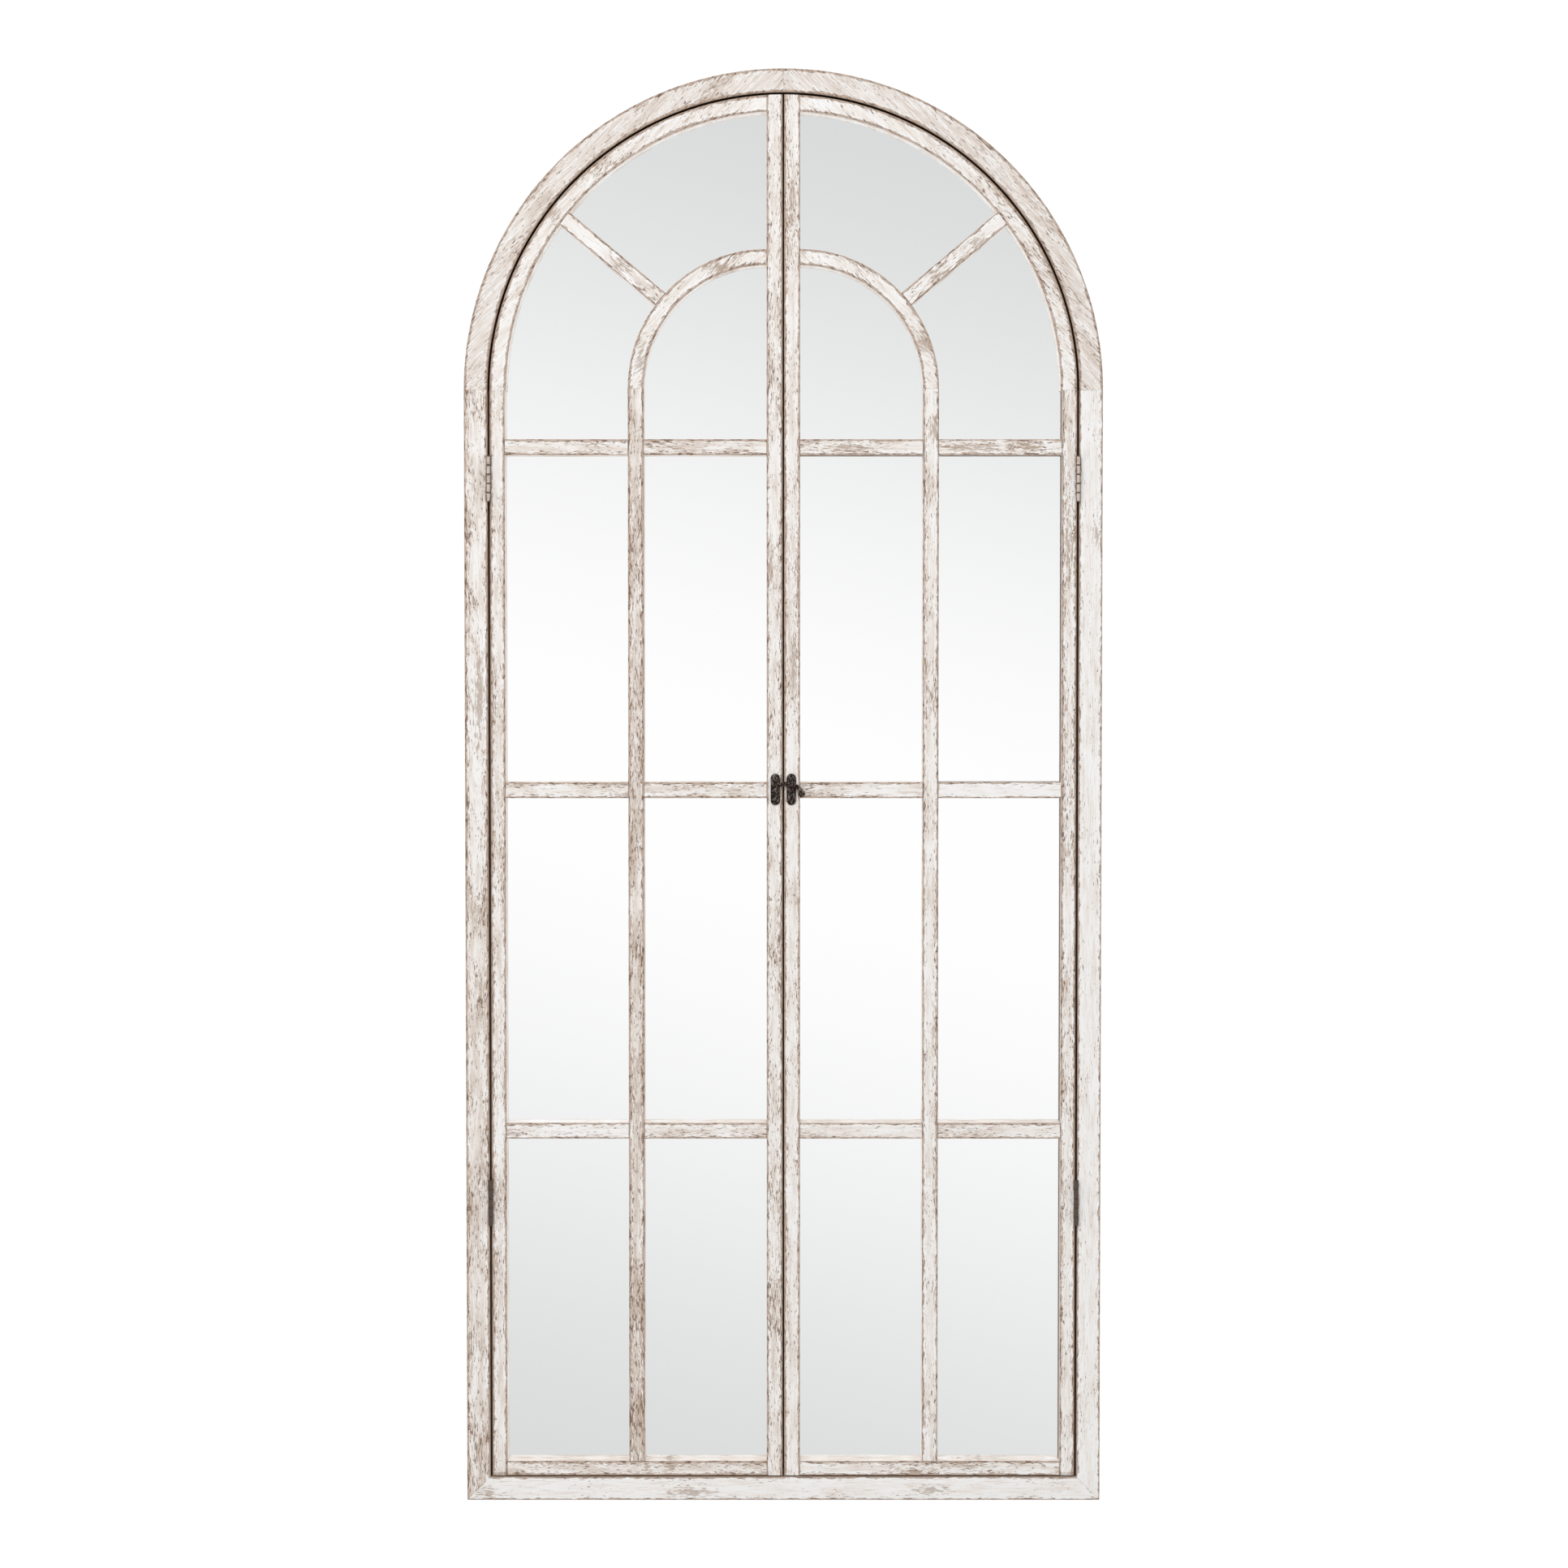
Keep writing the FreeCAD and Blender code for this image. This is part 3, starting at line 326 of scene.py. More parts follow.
# the same, for distances in mm from a face, an edge or an end
FRONT_FACE_MM = (1.4, 0.6)
RIDGE_RISE_MM = (1.5, 3.0)
RIDGE_FALL_MM = (6.5, 3.5)
HANDLED_MM = (8.0, 3.0, 0.07)
ARRIS_LINE_MM = (-0.4, 0.5, 0.9)
# the next: how deep into a reveal in shade the painted shade begins and is full
REVEAL_SHADE_DEPTH_MM = (7.0, 8.5)
EDGE_FACE_MM = (0.6, 0.2)
RUBBED_END_MM = (-1.0, 1.5)
SEAM_MM = (0.7, 0.2)
# the next three place the painted shade of the gaps: the browner arris beside a gap, the gap's wall, and
# how deep into the gap it begins and is full
GAP_ARRIS_MM = (-0.7, 0.3, 0.5)
GAP_WALL_SHADE_MM = (-0.4, -0.1)
GAP_SHADE_DEPTH_MM = (1.0, 3.0)

# how far an arris is rubbed at least, on an arc and on a straight member, how much further
# its roughness takes it, and how much further on a member one tone browner
ARC_RUB_MM = -0.9
STRAIGHT_RUB_MM = -1.5
ROUGH_RUB_MM = 8.0
RUB_PER_TONE_MM = 5.0

# how strong the wear at an end and the line of a seam get
MITRE_WEAR = 0.6
SHOULDER_WEAR = 0.35
TIGHT_SEAM = 0.12
SHOULDER_SEAM = 0.3

# how much lighter the painted shade on a gap's wall is, beside an upright and under a rail
UPRIGHT_SHADE_EASED = 0.45
RAIL_SHADE_EASED = 0.7


def straight_timber(node, upright, gap_side=(0, 0), tenons=2):
    """A member of a leaf, measured from its CAD node."""
    low, high = (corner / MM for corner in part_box(node))
    middle = (low + high) / 2
    size = high - low
    across, along = (size.x, size.z) if upright else (size.z, size.x)
    return Timber(90 if upright else 0, (middle.x, middle.z), across / 2, along - tenons * TENON_MM, 0,
                  LEAF_DEPTH_MM, gap_side, False)


def timbers():
    """Every wooden member by the name of its CAD node."""
    casing_middle = HALF_WIDTH_MM - CASING_FACE_MM / 2
    found = {"sill": Timber(0, (0, CASING_FACE_MM / 2), CASING_FACE_MM / 2, 2 * HALF_WIDTH_MM, 0,
                            CASING_DEPTH_MM, (0, 1), True)}
    for side, sign in (("left", -1), ("right", 1)):
        slant = -45 * sign
        found[side + "_jamb"] = Timber(90, (sign * casing_middle, SPRING_MM / 2), CASING_FACE_MM / 2,
                                       SPRING_MM, 0, CASING_DEPTH_MM, (-sign, 0), True)
        found[side + "_arch_half"] = Timber(slant, (0, SPRING_MM), CASING_FACE_MM / 2, 0, casing_middle,
                                            CASING_DEPTH_MM, (-1, -1), False)
        found[side + "_arch_rail"] = Timber(slant, (0, SPRING_MM), ARCH_RAIL_FACE_MM / 2, 0,
                                            ARCH_RAIL_RADIUS_MM, LEAF_DEPTH_MM, (1, 1), False)
        found[side + "_inner_arch"] = Timber(slant, (sign * MEETING_EDGE_MM, INNER_ARCH_BASE_MM),
                                             BAR_FACE_MM / 2, 0, INNER_ARCH_RADIUS_MM, LEAF_DEPTH_MM,
                                             (0, 0), False)
        reach = sum(FAN_SPAN_MM) / 2
        ray = math.radians(FAN_DEGREES)
        fan_middle = (sign * (MEETING_EDGE_MM + reach * math.cos(ray)),
                      INNER_ARCH_BASE_MM + reach * math.sin(ray))
        found[side + "_fan_bar"] = Timber(sign * FAN_DEGREES, fan_middle, BAR_FACE_MM / 2,
                                          FAN_SPAN_MM[1] - FAN_SPAN_MM[0], 0, LEAF_DEPTH_MM,
                                          (0, 0), False)
        found[side + "_hanging_stile"] = straight_timber(side + "_hanging_stile", True, (sign, 0), 1)
        found[side + "_meeting_stile"] = straight_timber(side + "_meeting_stile", True, (-sign, 0), 0)
        found[side + "_muntin"] = straight_timber(side + "_muntin", True)
        found[side + "_bottom_rail"] = straight_timber(side + "_bottom_rail", False, (0, -1))
        for level in ("lower", "middle", "upper"):
            for bay in ("inner", "outer"):
                name = "%s_%s_%s_transom" % (side, level, bay)
                found[name] = straight_timber(name, False)
    return found


def away_from(tree, coords, x, z, wide, high):
    """Distance from a spot in mm, as a share of its half width and half height."""
    spot = add(tree, "ShaderNodeVectorMath", {
        0: coords, 1: (1 / MM / wide, 0, 1 / MM / high), 2: (-x / wide, 0, -z / high)},
        operation="MULTIPLY_ADD").outputs[0]
    return add(tree, "ShaderNodeVectorMath", {0: spot}, operation="LENGTH").outputs["Value"]


def along_the_grain(tree, coords, timber):
    """Object space in mm, moved to the member's middle and turned so that X runs along
    its grain."""
    angle = math.radians(timber.grain)
    centre_x, centre_z = timber.middle
    turned = Vector((centre_x * math.cos(angle) + centre_z * math.sin(angle), 0,
                     centre_z * math.cos(angle) - centre_x * math.sin(angle)))
    return add(tree, "ShaderNodeMapping", {
        "Vector": coords, "Location": -turned, "Rotation": (0, angle, 0),
        "Scale": (1 / MM,) * 3}).outputs[0]


def side_of_gap(timber):
    """Which edge faces a dark gap: 1 or -1 across the grain, 0 for neither."""
    if timber.radius:
        return timber.gap_side[0]
    angle = math.radians(timber.grain)
    return timber.gap_side[1] * math.cos(angle) - timber.gap_side[0] * math.sin(angle)


def across_and_end(tree, place, world, timber):
    """Distances in mm across from a member's middle line, and in from its nearest end."""
    if timber.radius:
        flat = add(tree, "ShaderNodeVectorMath", {0: place, 1: (1, 0, 1)},
                   operation="MULTIPLY").outputs[0]
        reach = add(tree, "ShaderNodeVectorMath", {0: flat}, operation="LENGTH").outputs["Value"]
        across = calc(tree, "SUBTRACT", reach, timber.radius)
        from_side, from_spring = (
            calc(tree, "ABSOLUTE", calc(tree, "MULTIPLY_ADD", world[axis], 1 / MM, -centre))
            for axis, centre in zip("XZ", timber.middle))
        end = calc(tree, "MINIMUM", from_side, from_spring)
    else:
        grain = add(tree, "ShaderNodeSeparateXYZ", {0: place}).outputs
        across = grain["Z"]
        end = calc(tree, "SUBTRACT", timber.length / 2, calc(tree, "ABSOLUTE", grain["X"]))
    if timber.mitre:
        sideways = calc(tree, "ABSOLUTE", calc(tree, "DIVIDE", world["X"], MM))
        outside = calc(tree, "SUBTRACT", HALF_WIDTH_MM, sideways)
        rise = calc(tree, "SUBTRACT", outside, calc(tree, "DIVIDE", world["Z"], MM))
        from_mitre = calc(tree, "MULTIPLY", calc(tree, "ABSOLUTE", rise), math.sqrt(0.5))
        end = calc(tree, "MINIMUM", calc(tree, "ABSOLUTE", end), from_mitre)
    return across, end


# what the coats of a member's finish are worked out from: across to before_back are
# distances in mm, front says what is on the front face, lean how light the member is
Face = namedtuple("Face", "name timber tree coords marks coat lean "
                          "across inside end behind_front before_back front")


def face_of(name, timber, seed, tree):
    """Everything that the coats on a member need."""
    colours = bpy.context.scene.arched_mirror.whitewash
    coat = {key: opaque(getattr(colours, key)) for key in WhitewashSettings.__annotations__
            if key != "wear"}
    coords = add(tree, "ShaderNodeTexCoord").outputs["Object"]
    place = along_the_grain(tree, coords, timber)
    world = add(tree, "ShaderNodeSeparateXYZ", {0: coords}).outputs
    across, end = across_and_end(tree, place, world, timber)
    inside = calc(tree, "SUBTRACT", timber.half, calc(tree, "ABSOLUTE", across))
    behind_front = calc(tree, "MULTIPLY_ADD", world["Y"], 1 / MM, -timber.depth[0])
    before_back = calc(tree, "MULTIPLY_ADD", world["Y"], -1 / MM, timber.depth[1])
    front = between(tree, behind_front, *FRONT_FACE_MM)
    marks = {kind: pattern(tree, place, size_mm, seed + shift, detail)
             for kind, (size_mm, shift, detail) in MARKS.items()}
    return Face(name, timber, tree, coords, marks, coat, TONES.get(name, 0.0) - colours.wear,
                across, inside, end, behind_front, before_back, front)


def brushed_wash(face):
    """The wash as it was brushed on and rubbed back: its tone and its colour."""
    tree, marks, coat = face.tree, face.marks, face.coat

    # thick paint over cream in soft clouds, whitest along a ridge inside each arris
    ridge = calc(tree, "MULTIPLY", between(tree, face.inside, *RIDGE_RISE_MM),
                 between(tree, face.inside, *RIDGE_FALL_MM))
    tone = weighted(tree, face.lean + EVEN_SHARE, (marks["worn"], WORN_SHARE),
                    (marks["clouds"], CLOUD_SHARE), (ridge, RIDGE_SHARE))
    bareness = weighted(tree, -face.lean - 0.14, (marks["worn"], -0.7))
    for spot in THICK_MM.get(face.name, ()):
        thick = between(tree, away_from(tree, face.coords, *spot), *THICK_SPOT)
        tone = weighted(tree, tone, (thick, THICK_SHARE))
        bareness = weighted(tree, bareness, (thick, -0.06))
    colour = add(tree, "ShaderNodeValToRGB", {0: tone},
                 stops=[(position, coat[key]) for position, key in WASH_STOPS]).outputs[0]

    # specks where the wash wore off the grain, brush hairs, and dark flecks among them
    bareness = calc(tree, "ADD", bareness, between(tree, face.inside, *HANDLED_MM))
    bared = between(tree, calc(tree, "ADD", marks["specks"], bareness), *BARED)
    colour = layer(tree, calc(tree, "MULTIPLY", bared, face.front), colour, coat["thin"])
    colour = layer(tree, between(tree, marks["hairs"], *BRUSHED), colour, coat["taupe"])
    if face.timber.radius and face.timber.depth == CASING_DEPTH_MM:
        # the arch halves are cut across their curve, so more hairs show in their open grain
        colour = layer(tree, between(tree, marks["hairs"], *OPEN_GRAIN), colour, coat["thin"])
    flecked = between(tree, weighted(tree, marks["flecks"], (bareness, 0.5)), *FLECKED)
    colour = layer(tree, calc(tree, "MULTIPLY", flecked, face.front), colour, coat["dark"])
    for spot in SMUDGES_MM.get(face.name, ()):
        away = away_from(tree, face.coords, *spot)
        smudged = between(tree, weighted(tree, marks["specks"], (away, -0.17)), *SMUDGED)
        colour = layer(tree, smudged, colour, coat["brown"])
    return tone, colour


def rubbed_edges(face, colour):
    """A brown line along each arris, broken here and there and dotted darker, ends rubbed
    in places, seams, painted shade on the reveals of the right leaf that lie in shade, and
    painted shade on the walls of each gap, with a browner arris beside it that is partly
    rubbed wear and partly painted shade."""
    tree, marks, coat, timber = face.tree, face.marks, face.coat, face.timber
    least_mm = ARC_RUB_MM if timber.radius else STRAIGHT_RUB_MM
    rub = calc(tree, "MULTIPLY_ADD", marks["ragged"], ROUGH_RUB_MM, least_mm - RUB_PER_TONE_MM * face.lean)
    line = between(tree, calc(tree, "SUBTRACT", rub, face.inside), *ARRIS_LINE_MM)
    dotted = layer(tree, between(tree, marks["flecks"], *ARRIS_DOTS), coat["thin"], coat["dark"])
    colour = layer(tree, calc(tree, "MULTIPLY", line, face.front), colour, dotted)

    # painted shade: the faces towards the panes of these members are painted dark where they lie in shade
    if face.name in SHADED_REVEALS:
        reveal_shade = calc(tree, "MULTIPLY", between(tree, face.behind_front, *REVEAL_SHADE_DEPTH_MM),
                      between(tree, face.inside, *EDGE_FACE_MM))
        colour = layer(tree, reveal_shade, colour, coat["gap"])

    end_rub = calc(tree, "SUBTRACT", calc(tree, "MULTIPLY_ADD", marks["ragged"], 16, -8.5), face.end)
    rubbed = between(tree, end_rub, *RUBBED_END_MM, MITRE_WEAR if timber.mitre else SHOULDER_WEAR)
    colour = layer(tree, rubbed, colour, coat["brown"])
    tight = timber.radius or timber.mitre
    seam = between(tree, face.end, *SEAM_MM, TIGHT_SEAM if tight else SHOULDER_SEAM)
    colour = layer(tree, seam, colour, coat["dark"])

    if timber.depth == CASING_DEPTH_MM:
        back = calc(tree, "MULTIPLY", between(tree, face.before_back, *EDGE_FACE_MM),
                    between(tree, marks["clouds"], *WASH_ON_BACK))
        colour = layer(tree, back, colour, coat["bare"])

    # painted shade in the gaps: a dark colour on the walls of each gap stands in for the shade deep inside
    side = side_of_gap(timber)
    if side:
        beyond = calc(tree, "MULTIPLY_ADD", face.across, math.copysign(1, side), -timber.half)
        # the arris that faces a gap goes browner: rubbed wear, and painted shade that widens the dark line
        # of the gap
        stained = between(tree, calc(tree, "MULTIPLY_ADD", rub, 0.3, beyond), *GAP_ARRIS_MM)
        colour = layer(tree, stained, colour, coat["brown"])
        gap_wall_shade = calc(tree, "MULTIPLY", between(tree, beyond, *GAP_WALL_SHADE_MM),
                      between(tree, face.behind_front, *GAP_SHADE_DEPTH_MM))
        # painted shade in the gaps: lighter in the straight gaps than round the arch, and lightest above
        # the sill
        shade_eased = 0.0 if timber.radius else UPRIGHT_SHADE_EASED if timber.gap_side[0] else RAIL_SHADE_EASED
        colour = layer(tree, gap_wall_shade, colour, layer(tree, shade_eased, coat["gap"], coat["thin"]))
    return colour


def whitewashed_fir(name, timber, seed):
    """Fir, brush-stained brown, limewashed and rubbed back by hand.  The eye gets a matt
    chalky white that goes cream and taupe in clouds some 50 mm long and 7 mm wide along the
    grain, with thin brush hairs, short dark flecks, and brown arrises where the rubbing
    went through."""
    material, tree = blank_material("whitewashed_fir_" + name)
    face = face_of(name, timber, seed, tree)
    tone, colour = brushed_wash(face)
    colour = rubbed_edges(face, colour)
    bump = add(tree, "ShaderNodeBump", {"Height": tone, "Strength": 0.35, "Distance": 0.25 * MM})
    finish_with(tree, add(tree, "ShaderNodeBsdfPrincipled", {
        "Base Color": colour, "Roughness": 0.72, "Specular IOR Level": 0.2,
        "Normal": bump.outputs[0]}))
    return material


class MIRROR_OT_timber(bpy.types.Operator):
    """Whitewash every wooden member of the casing and the two leaves."""
    bl_idname = "mirror.timber"
    bl_label = "Whitewash the timber"

    def execute(self, context):
        for seed, (node, timber) in enumerate(timbers().items()):
            give(node, whitewashed_fir(node, timber, seed * SEED_OF_NEXT_MEMBER))
        return {"FINISHED"}


# ---------------------------------------------------------------- glass and back
# tones of the plain materials, the ground first
HARDBOARD_TONES = ("#6B4B34", "#7E5C42", "#553A28")
# the strip's dark brown also stands in for the shade in the gap between the meeting stiles: painted shade
STRIP_TONES = ("#4A3B31", "#6B584A")
BEECH_TONES = ("#D9B48C", "#B98F66")
DULL_ZINC = "#8F918F"


def silvered_glass():
    """Float glass, silvered on its back.  The eye gets a clean reflection, a trace cool, and
    bars that are as bright beside the mirror as in front.  A path from a matt face to the
    mirror and on to the lights is mostly lost in rendering, so the mirror gives that light."""
    settings = bpy.context.scene.arched_mirror.mirror
    material, tree = blank_material("silvered_float_glass")
    finish_with(tree, add(tree, "ShaderNodeBsdfPrincipled", {
        "Base Color": opaque(settings.tint), "Metallic": 1.0, "Roughness": settings.roughness,
        "Emission Color": (settings.returned,) * 3 + (1.0,),
        "Emission Strength": add(tree, "ShaderNodeLightPath").outputs["Is Diffuse Ray"]}))
    return material


def hardboard():
    """Pressed hardboard.  The eye gets dull brown with fine paler fibres in darker clouds;
    real fibres are under 1 mm, and here they are 2.5 mm, as coarse as they need to be to
    show."""
    board, fibre, cloud = (linear(tone) for tone in HARDBOARD_TONES)
    material, tree = blank_material("pressed_hardboard")
    place = in_mm(tree)
    fibres = pattern(tree, place, (2.5, 2.5, 2.5), 3, 5)
    clouds = pattern(tree, place, (140, 140, 140), 5, 3)
    colour = layer(tree, between(tree, fibres, 0.35, 0.65), board, fibre)
    colour = layer(tree, between(tree, clouds, 0.4, 0.7, 0.4), colour, cloud)
    bump = add(tree, "ShaderNodeBump", {"Height": fibres, "Strength": 0.4, "Distance": 0.2 * MM})
    finish_with(tree, add(tree, "ShaderNodeBsdfPrincipled", {
        "Base Color": colour, "Roughness": 0.62, "Normal": bump.outputs[0]}))
    return material


def streaked_wood(name, size_mm, seed, detail, onset, tones, roughness):
    """Plain wood in two tones, with streaks of the given size in x, y and z."""
    material, tree = blank_material(name)
    streaks = pattern(tree, in_mm(tree), size_mm, seed, detail)
    colour = layer(tree, between(tree, streaks, *onset), *(linear(tone) for tone in tones))
    finish_with(tree, add(tree, "ShaderNodeBsdfPrincipled", {
        "Base Color": colour, "Roughness": roughness}))
    return material


def dark_strip_and_gap_shade():
    """Fir stained dark brown, which also stands in for the shade deep in the gap between the
    meeting stiles: painted shade.  The eye gets the dark line between the meeting stiles, a
    little lighter in streaks."""
    return streaked_wood("dark_stained_fir_and_gap_shade", (1.2, 3, 60), 8, 3, (0.4, 0.65), STRIP_TONES, 0.8)


def dowel_beech():
    """Turned beech.  The eye gets pale pinkish tan with short darker rays."""
    return streaked_wood("turned_beech", (0.6, 0.6, 3), 6, 2, (0.45, 0.65), BEECH_TONES, 0.6)


class MIRROR_OT_glass_and_back(bpy.types.Operator):
    """Finish the mirror, the board behind it, the strip and the fastenings at the back."""
    bl_idname = "mirror.glass_and_back"
    bl_label = "Finish the glass and the back"

    def execute(self, context):
        zinc = opaque(context.scene.arched_mirror.hardware.zinc)
        plated = worn_metal("zinc_plated_steel", zinc, linear(DULL_ZINC), 1.0, 0.38, 0.1)
        for node, material in (("mirror_glass", silvered_glass()), ("backing_board", hardboard()),
                               ("centre_strip", dark_strip_and_gap_shade()), ("backing_tabs", plated),
                               ("hanger_plates", plated), ("hanger_screws", plated),
                               ("casing_dowels", dowel_beech())):
            give(node, material)
        return {"FINISHED"}


# ---------------------------------------------------------------- metal pieces
SLOT_WIDTH_MM = 0.7
SLOT_DEPTH_MM = 0.45
SMOOTH_BELOW = math.radians(35)
BEVEL_ABOVE = math.radians(50)

# where a metal's scratches are: how near the middle of a soft pattern, which makes thin
# curves of it, and in which of the grit
SCRATCH_CURVE = (0.040, 0.018)
SCRATCH_GRIT = (0.40, 0.50)

# painted shade on a hinge: the depth at which a barrel's shaded sides begin, and the width of the shade in
# the joints between knuckles
BARREL_SIDE_SHADE_MM = (-41.0, -40.1)
KNUCKLE_JOINT_SHADE_MM = (1.5, 0.6)
HINGE_SHADE_TONES = ("#5A493D", "#4A3B32")


def worn_metal(name, base, worn, metallic, roughness, amount, foot_mm=None, sheen=0.5, scratches=0.0):
    """A metal with a finish that has rubbed through.  The eye gets flecks where it did and,
    as much as scratches says, thin curved scratches; real ones are 0.1 mm, and here they
    are nearer 0.5 mm, as coarse as they need to be to show.  With foot_mm, the foot of a
    hinge, painted shade darkens the barrel's sides and the joints between its knuckles."""
    material, tree = blank_material(name)
    place = in_mm(tree)
    rub = pattern(tree, place, (3.5, 3.5, 9), 4, 4)
    grit = pattern(tree, place, (0.8, 0.8, 0.8), 9, 3)
    flecked = between(tree, weighted(tree, rub, (grit, 0.3)), 0.80 - amount, 0.92 - amount, 0.85)
    colour = layer(tree, flecked, base, worn)
    if scratches:
        waves = pattern(tree, place, (5, 5, 7), 12, 1)
        curve = calc(tree, "ABSOLUTE", calc(tree, "SUBTRACT", waves, 0.5))
        drawn = calc(tree, "MULTIPLY", between(tree, curve, *SCRATCH_CURVE, scratches),
                     between(tree, grit, *SCRATCH_GRIT))
        colour = layer(tree, drawn, colour, worn)
    # painted shade on a hinge: the barrel's sides and the joints between its knuckles darkened
    if foot_mm:
        side_shade, joint_shade = (linear(tone) for tone in HINGE_SHADE_TONES)
        spot = add(tree, "ShaderNodeSeparateXYZ", {0: place}).outputs
        turn = calc(tree, "DIVIDE", calc(tree, "SUBTRACT", spot["Z"], foot_mm), KNUCKLE_PITCH_MM)
        joint = calc(tree, "MULTIPLY", calc(tree, "PINGPONG", turn, 0.5), KNUCKLE_PITCH_MM)
        colour = layer(tree, between(tree, spot["Y"], *BARREL_SIDE_SHADE_MM, 0.8), colour, side_shade)
        colour = layer(tree, between(tree, joint, *KNUCKLE_JOINT_SHADE_MM, 0.85), colour, joint_shade)
    bump = add(tree, "ShaderNodeBump", {"Height": grit, "Strength": 0.4, "Distance": 0.15 * MM})
    finish_with(tree, add(tree, "ShaderNodeBsdfPrincipled", {
        "Base Color": colour, "Metallic": metallic, "Roughness": roughness,
        "Specular IOR Level": sheen, "Normal": bump.outputs[0]}))
    return material


def finished(piece, body, slot_name, material, *nodes):
    """Settle a new piece: its place goes into its mesh, and it rides on its body."""
    bpy.ops.object.mode_set(mode="OBJECT")
    bpy.ops.object.select_all(action="DESELECT")
    piece.select_set(True)
    bpy.context.view_layer.objects.active = piece
    bpy.ops.object.transform_apply(location=True, rotation=True, scale=True)
    bpy.ops.object.mode_set(mode="EDIT")
    bpy.ops.mesh.select_all(action="SELECT")
    bpy.ops.mesh.normals_make_consistent(inside=False)
    bpy.ops.object.mode_set(mode="OBJECT")
    bpy.ops.object.shade_smooth_by_angle(angle=SMOOTH_BELOW)
    piece.data.materials.clear()
    piece.data.materials.append(material)
    piece.select_set(False)
    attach(piece, body)
    if nodes:
        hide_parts(*nodes)
    return piece


def apply_modifier(piece, kind, **settings):
    """Add a modifier and apply it at once."""
    modifier = piece.modifiers.new(kind.lower(), kind)
    for name, setting in settings.items():
        setattr(modifier, name, setting)
    bpy.context.view_layer.objects.active = piece
    bpy.ops.object.modifier_apply(modifier=modifier.name)


def turned_rod(name, centre_mm, profile_mm, sides=32):
    """A round piece that stands out to the front, made by drawing a disc out along -Y.
    The profile holds (radius, y) from the back forwards."""
    x, z = centre_mm
    radius, y = profile_mm[0]
    bpy.ops.object.select_all(action="DESELECT")
    bpy.ops.mesh.primitive_circle_add(vertices=sides, radius=radius * MM, fill_type="NGON",
                                      location=(x * MM, y * MM, z * MM), rotation=(math.pi / 2, 0, 0))
    piece = bpy.context.object
    piece.name = name
    bpy.ops.object.mode_set(mode="EDIT")
    for next_radius, next_y in profile_mm[1:]:
        bpy.ops.mesh.extrude_region_move(TRANSFORM_OT_translate={"value": (0, (next_y - y) * MM, 0)})
        share = next_radius / radius
        bpy.ops.transform.resize(value=(share, 1, share), center_override=(x * MM, next_y * MM, z * MM))
        radius, y = next_radius, next_y
    bpy.ops.object.mode_set(mode="OBJECT")
    return piece


def cut_slot(piece, centre_mm, top_mm, length_mm, degrees):
    """File a screwdriver slot into a head."""
    x, z = centre_mm
    bpy.ops.object.select_all(action="DESELECT")
    bpy.ops.mesh.primitive_cube_add(size=1, location=(x * MM, top_mm * MM, z * MM),
                                    rotation=(0, math.radians(degrees), 0),
                                    scale=(length_mm * MM, SLOT_DEPTH_MM * 2 * MM, SLOT_WIDTH_MM * MM))
    cutter = bpy.context.object
    apply_modifier(piece, "BOOLEAN", operation="DIFFERENCE", object=cutter, solver="EXACT")
    bpy.data.objects.remove(cutter)


def joined(name, pieces):
    """Several meshes as one piece."""
    bpy.ops.object.select_all(action="DESELECT")
    for piece in pieces:
        piece.select_set(True)
    bpy.context.view_layer.objects.active = pieces[0]
    bpy.ops.object.join()
    pieces[0].name = name
    return pieces[0]


def eased_copy(node, name, width_mm):
    """A copy of a CAD node with its edges eased, as filing or forging leaves them."""
    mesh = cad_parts[node].data.copy()
    piece = bpy.data.objects.new(name, mesh)
    bpy.context.scene.collection.objects.link(piece)
    bpy.ops.object.select_all(action="DESELECT")
    piece.select_set(True)
    bpy.context.view_layer.objects.active = piece
    bpy.ops.object.mode_set(mode="EDIT")
    bpy.ops.mesh.select_all(action="SELECT")
    bpy.ops.mesh.remove_doubles(threshold=0.002 * MM)
    bpy.ops.mesh.dissolve_limited(angle_limit=math.radians(1))
    bpy.ops.object.mode_set(mode="OBJECT")
    apply_modifier(piece, "BEVEL", width=width_mm * MM, segments=3, limit_method="ANGLE",
                   angle_limit=BEVEL_ABOVE, use_clamp_overlap=True)
    return piece


# ---------------------------------------------------------------- hinges
HINGE_AXIS_MM = (369.1, -38.3)
BARREL_MM = 2.95
KNUCKLE_PITCH_MM = 11.45
KNUCKLE_GAP_MM = 0.3
HINGE_LEVELS_MM = {"upper": 1289.0, "lower": 378.0}
FRAME_KNUCKLES = (0, 2, 4)
DOOR_KNUCKLES = (1, 3)
PAINTED_HINGE_TONES = ("#CBBDB1", "#84705F")
RUBBED_HINGE_TONE = "#8F7F72"


def knuckle(name, x_mm, low_mm, high_mm):
    """One rolled knuckle, a round barrel with eased ends."""
    bpy.ops.object.select_all(action="DESELECT")
    bpy.ops.mesh.primitive_cylinder_add(
        vertices=32, radius=BARREL_MM * MM, depth=(high_mm - low_mm) * MM,
        location=(x_mm * MM, HINGE_AXIS_MM[1] * MM, (low_mm + high_mm) / 2 * MM))
    barrel = bpy.context.object
    barrel.name = name
    apply_modifier(barrel, "BEVEL", width=0.45 * MM, segments=3, limit_method="ANGLE",
                   angle_limit=BEVEL_ABOVE)
    return barrel


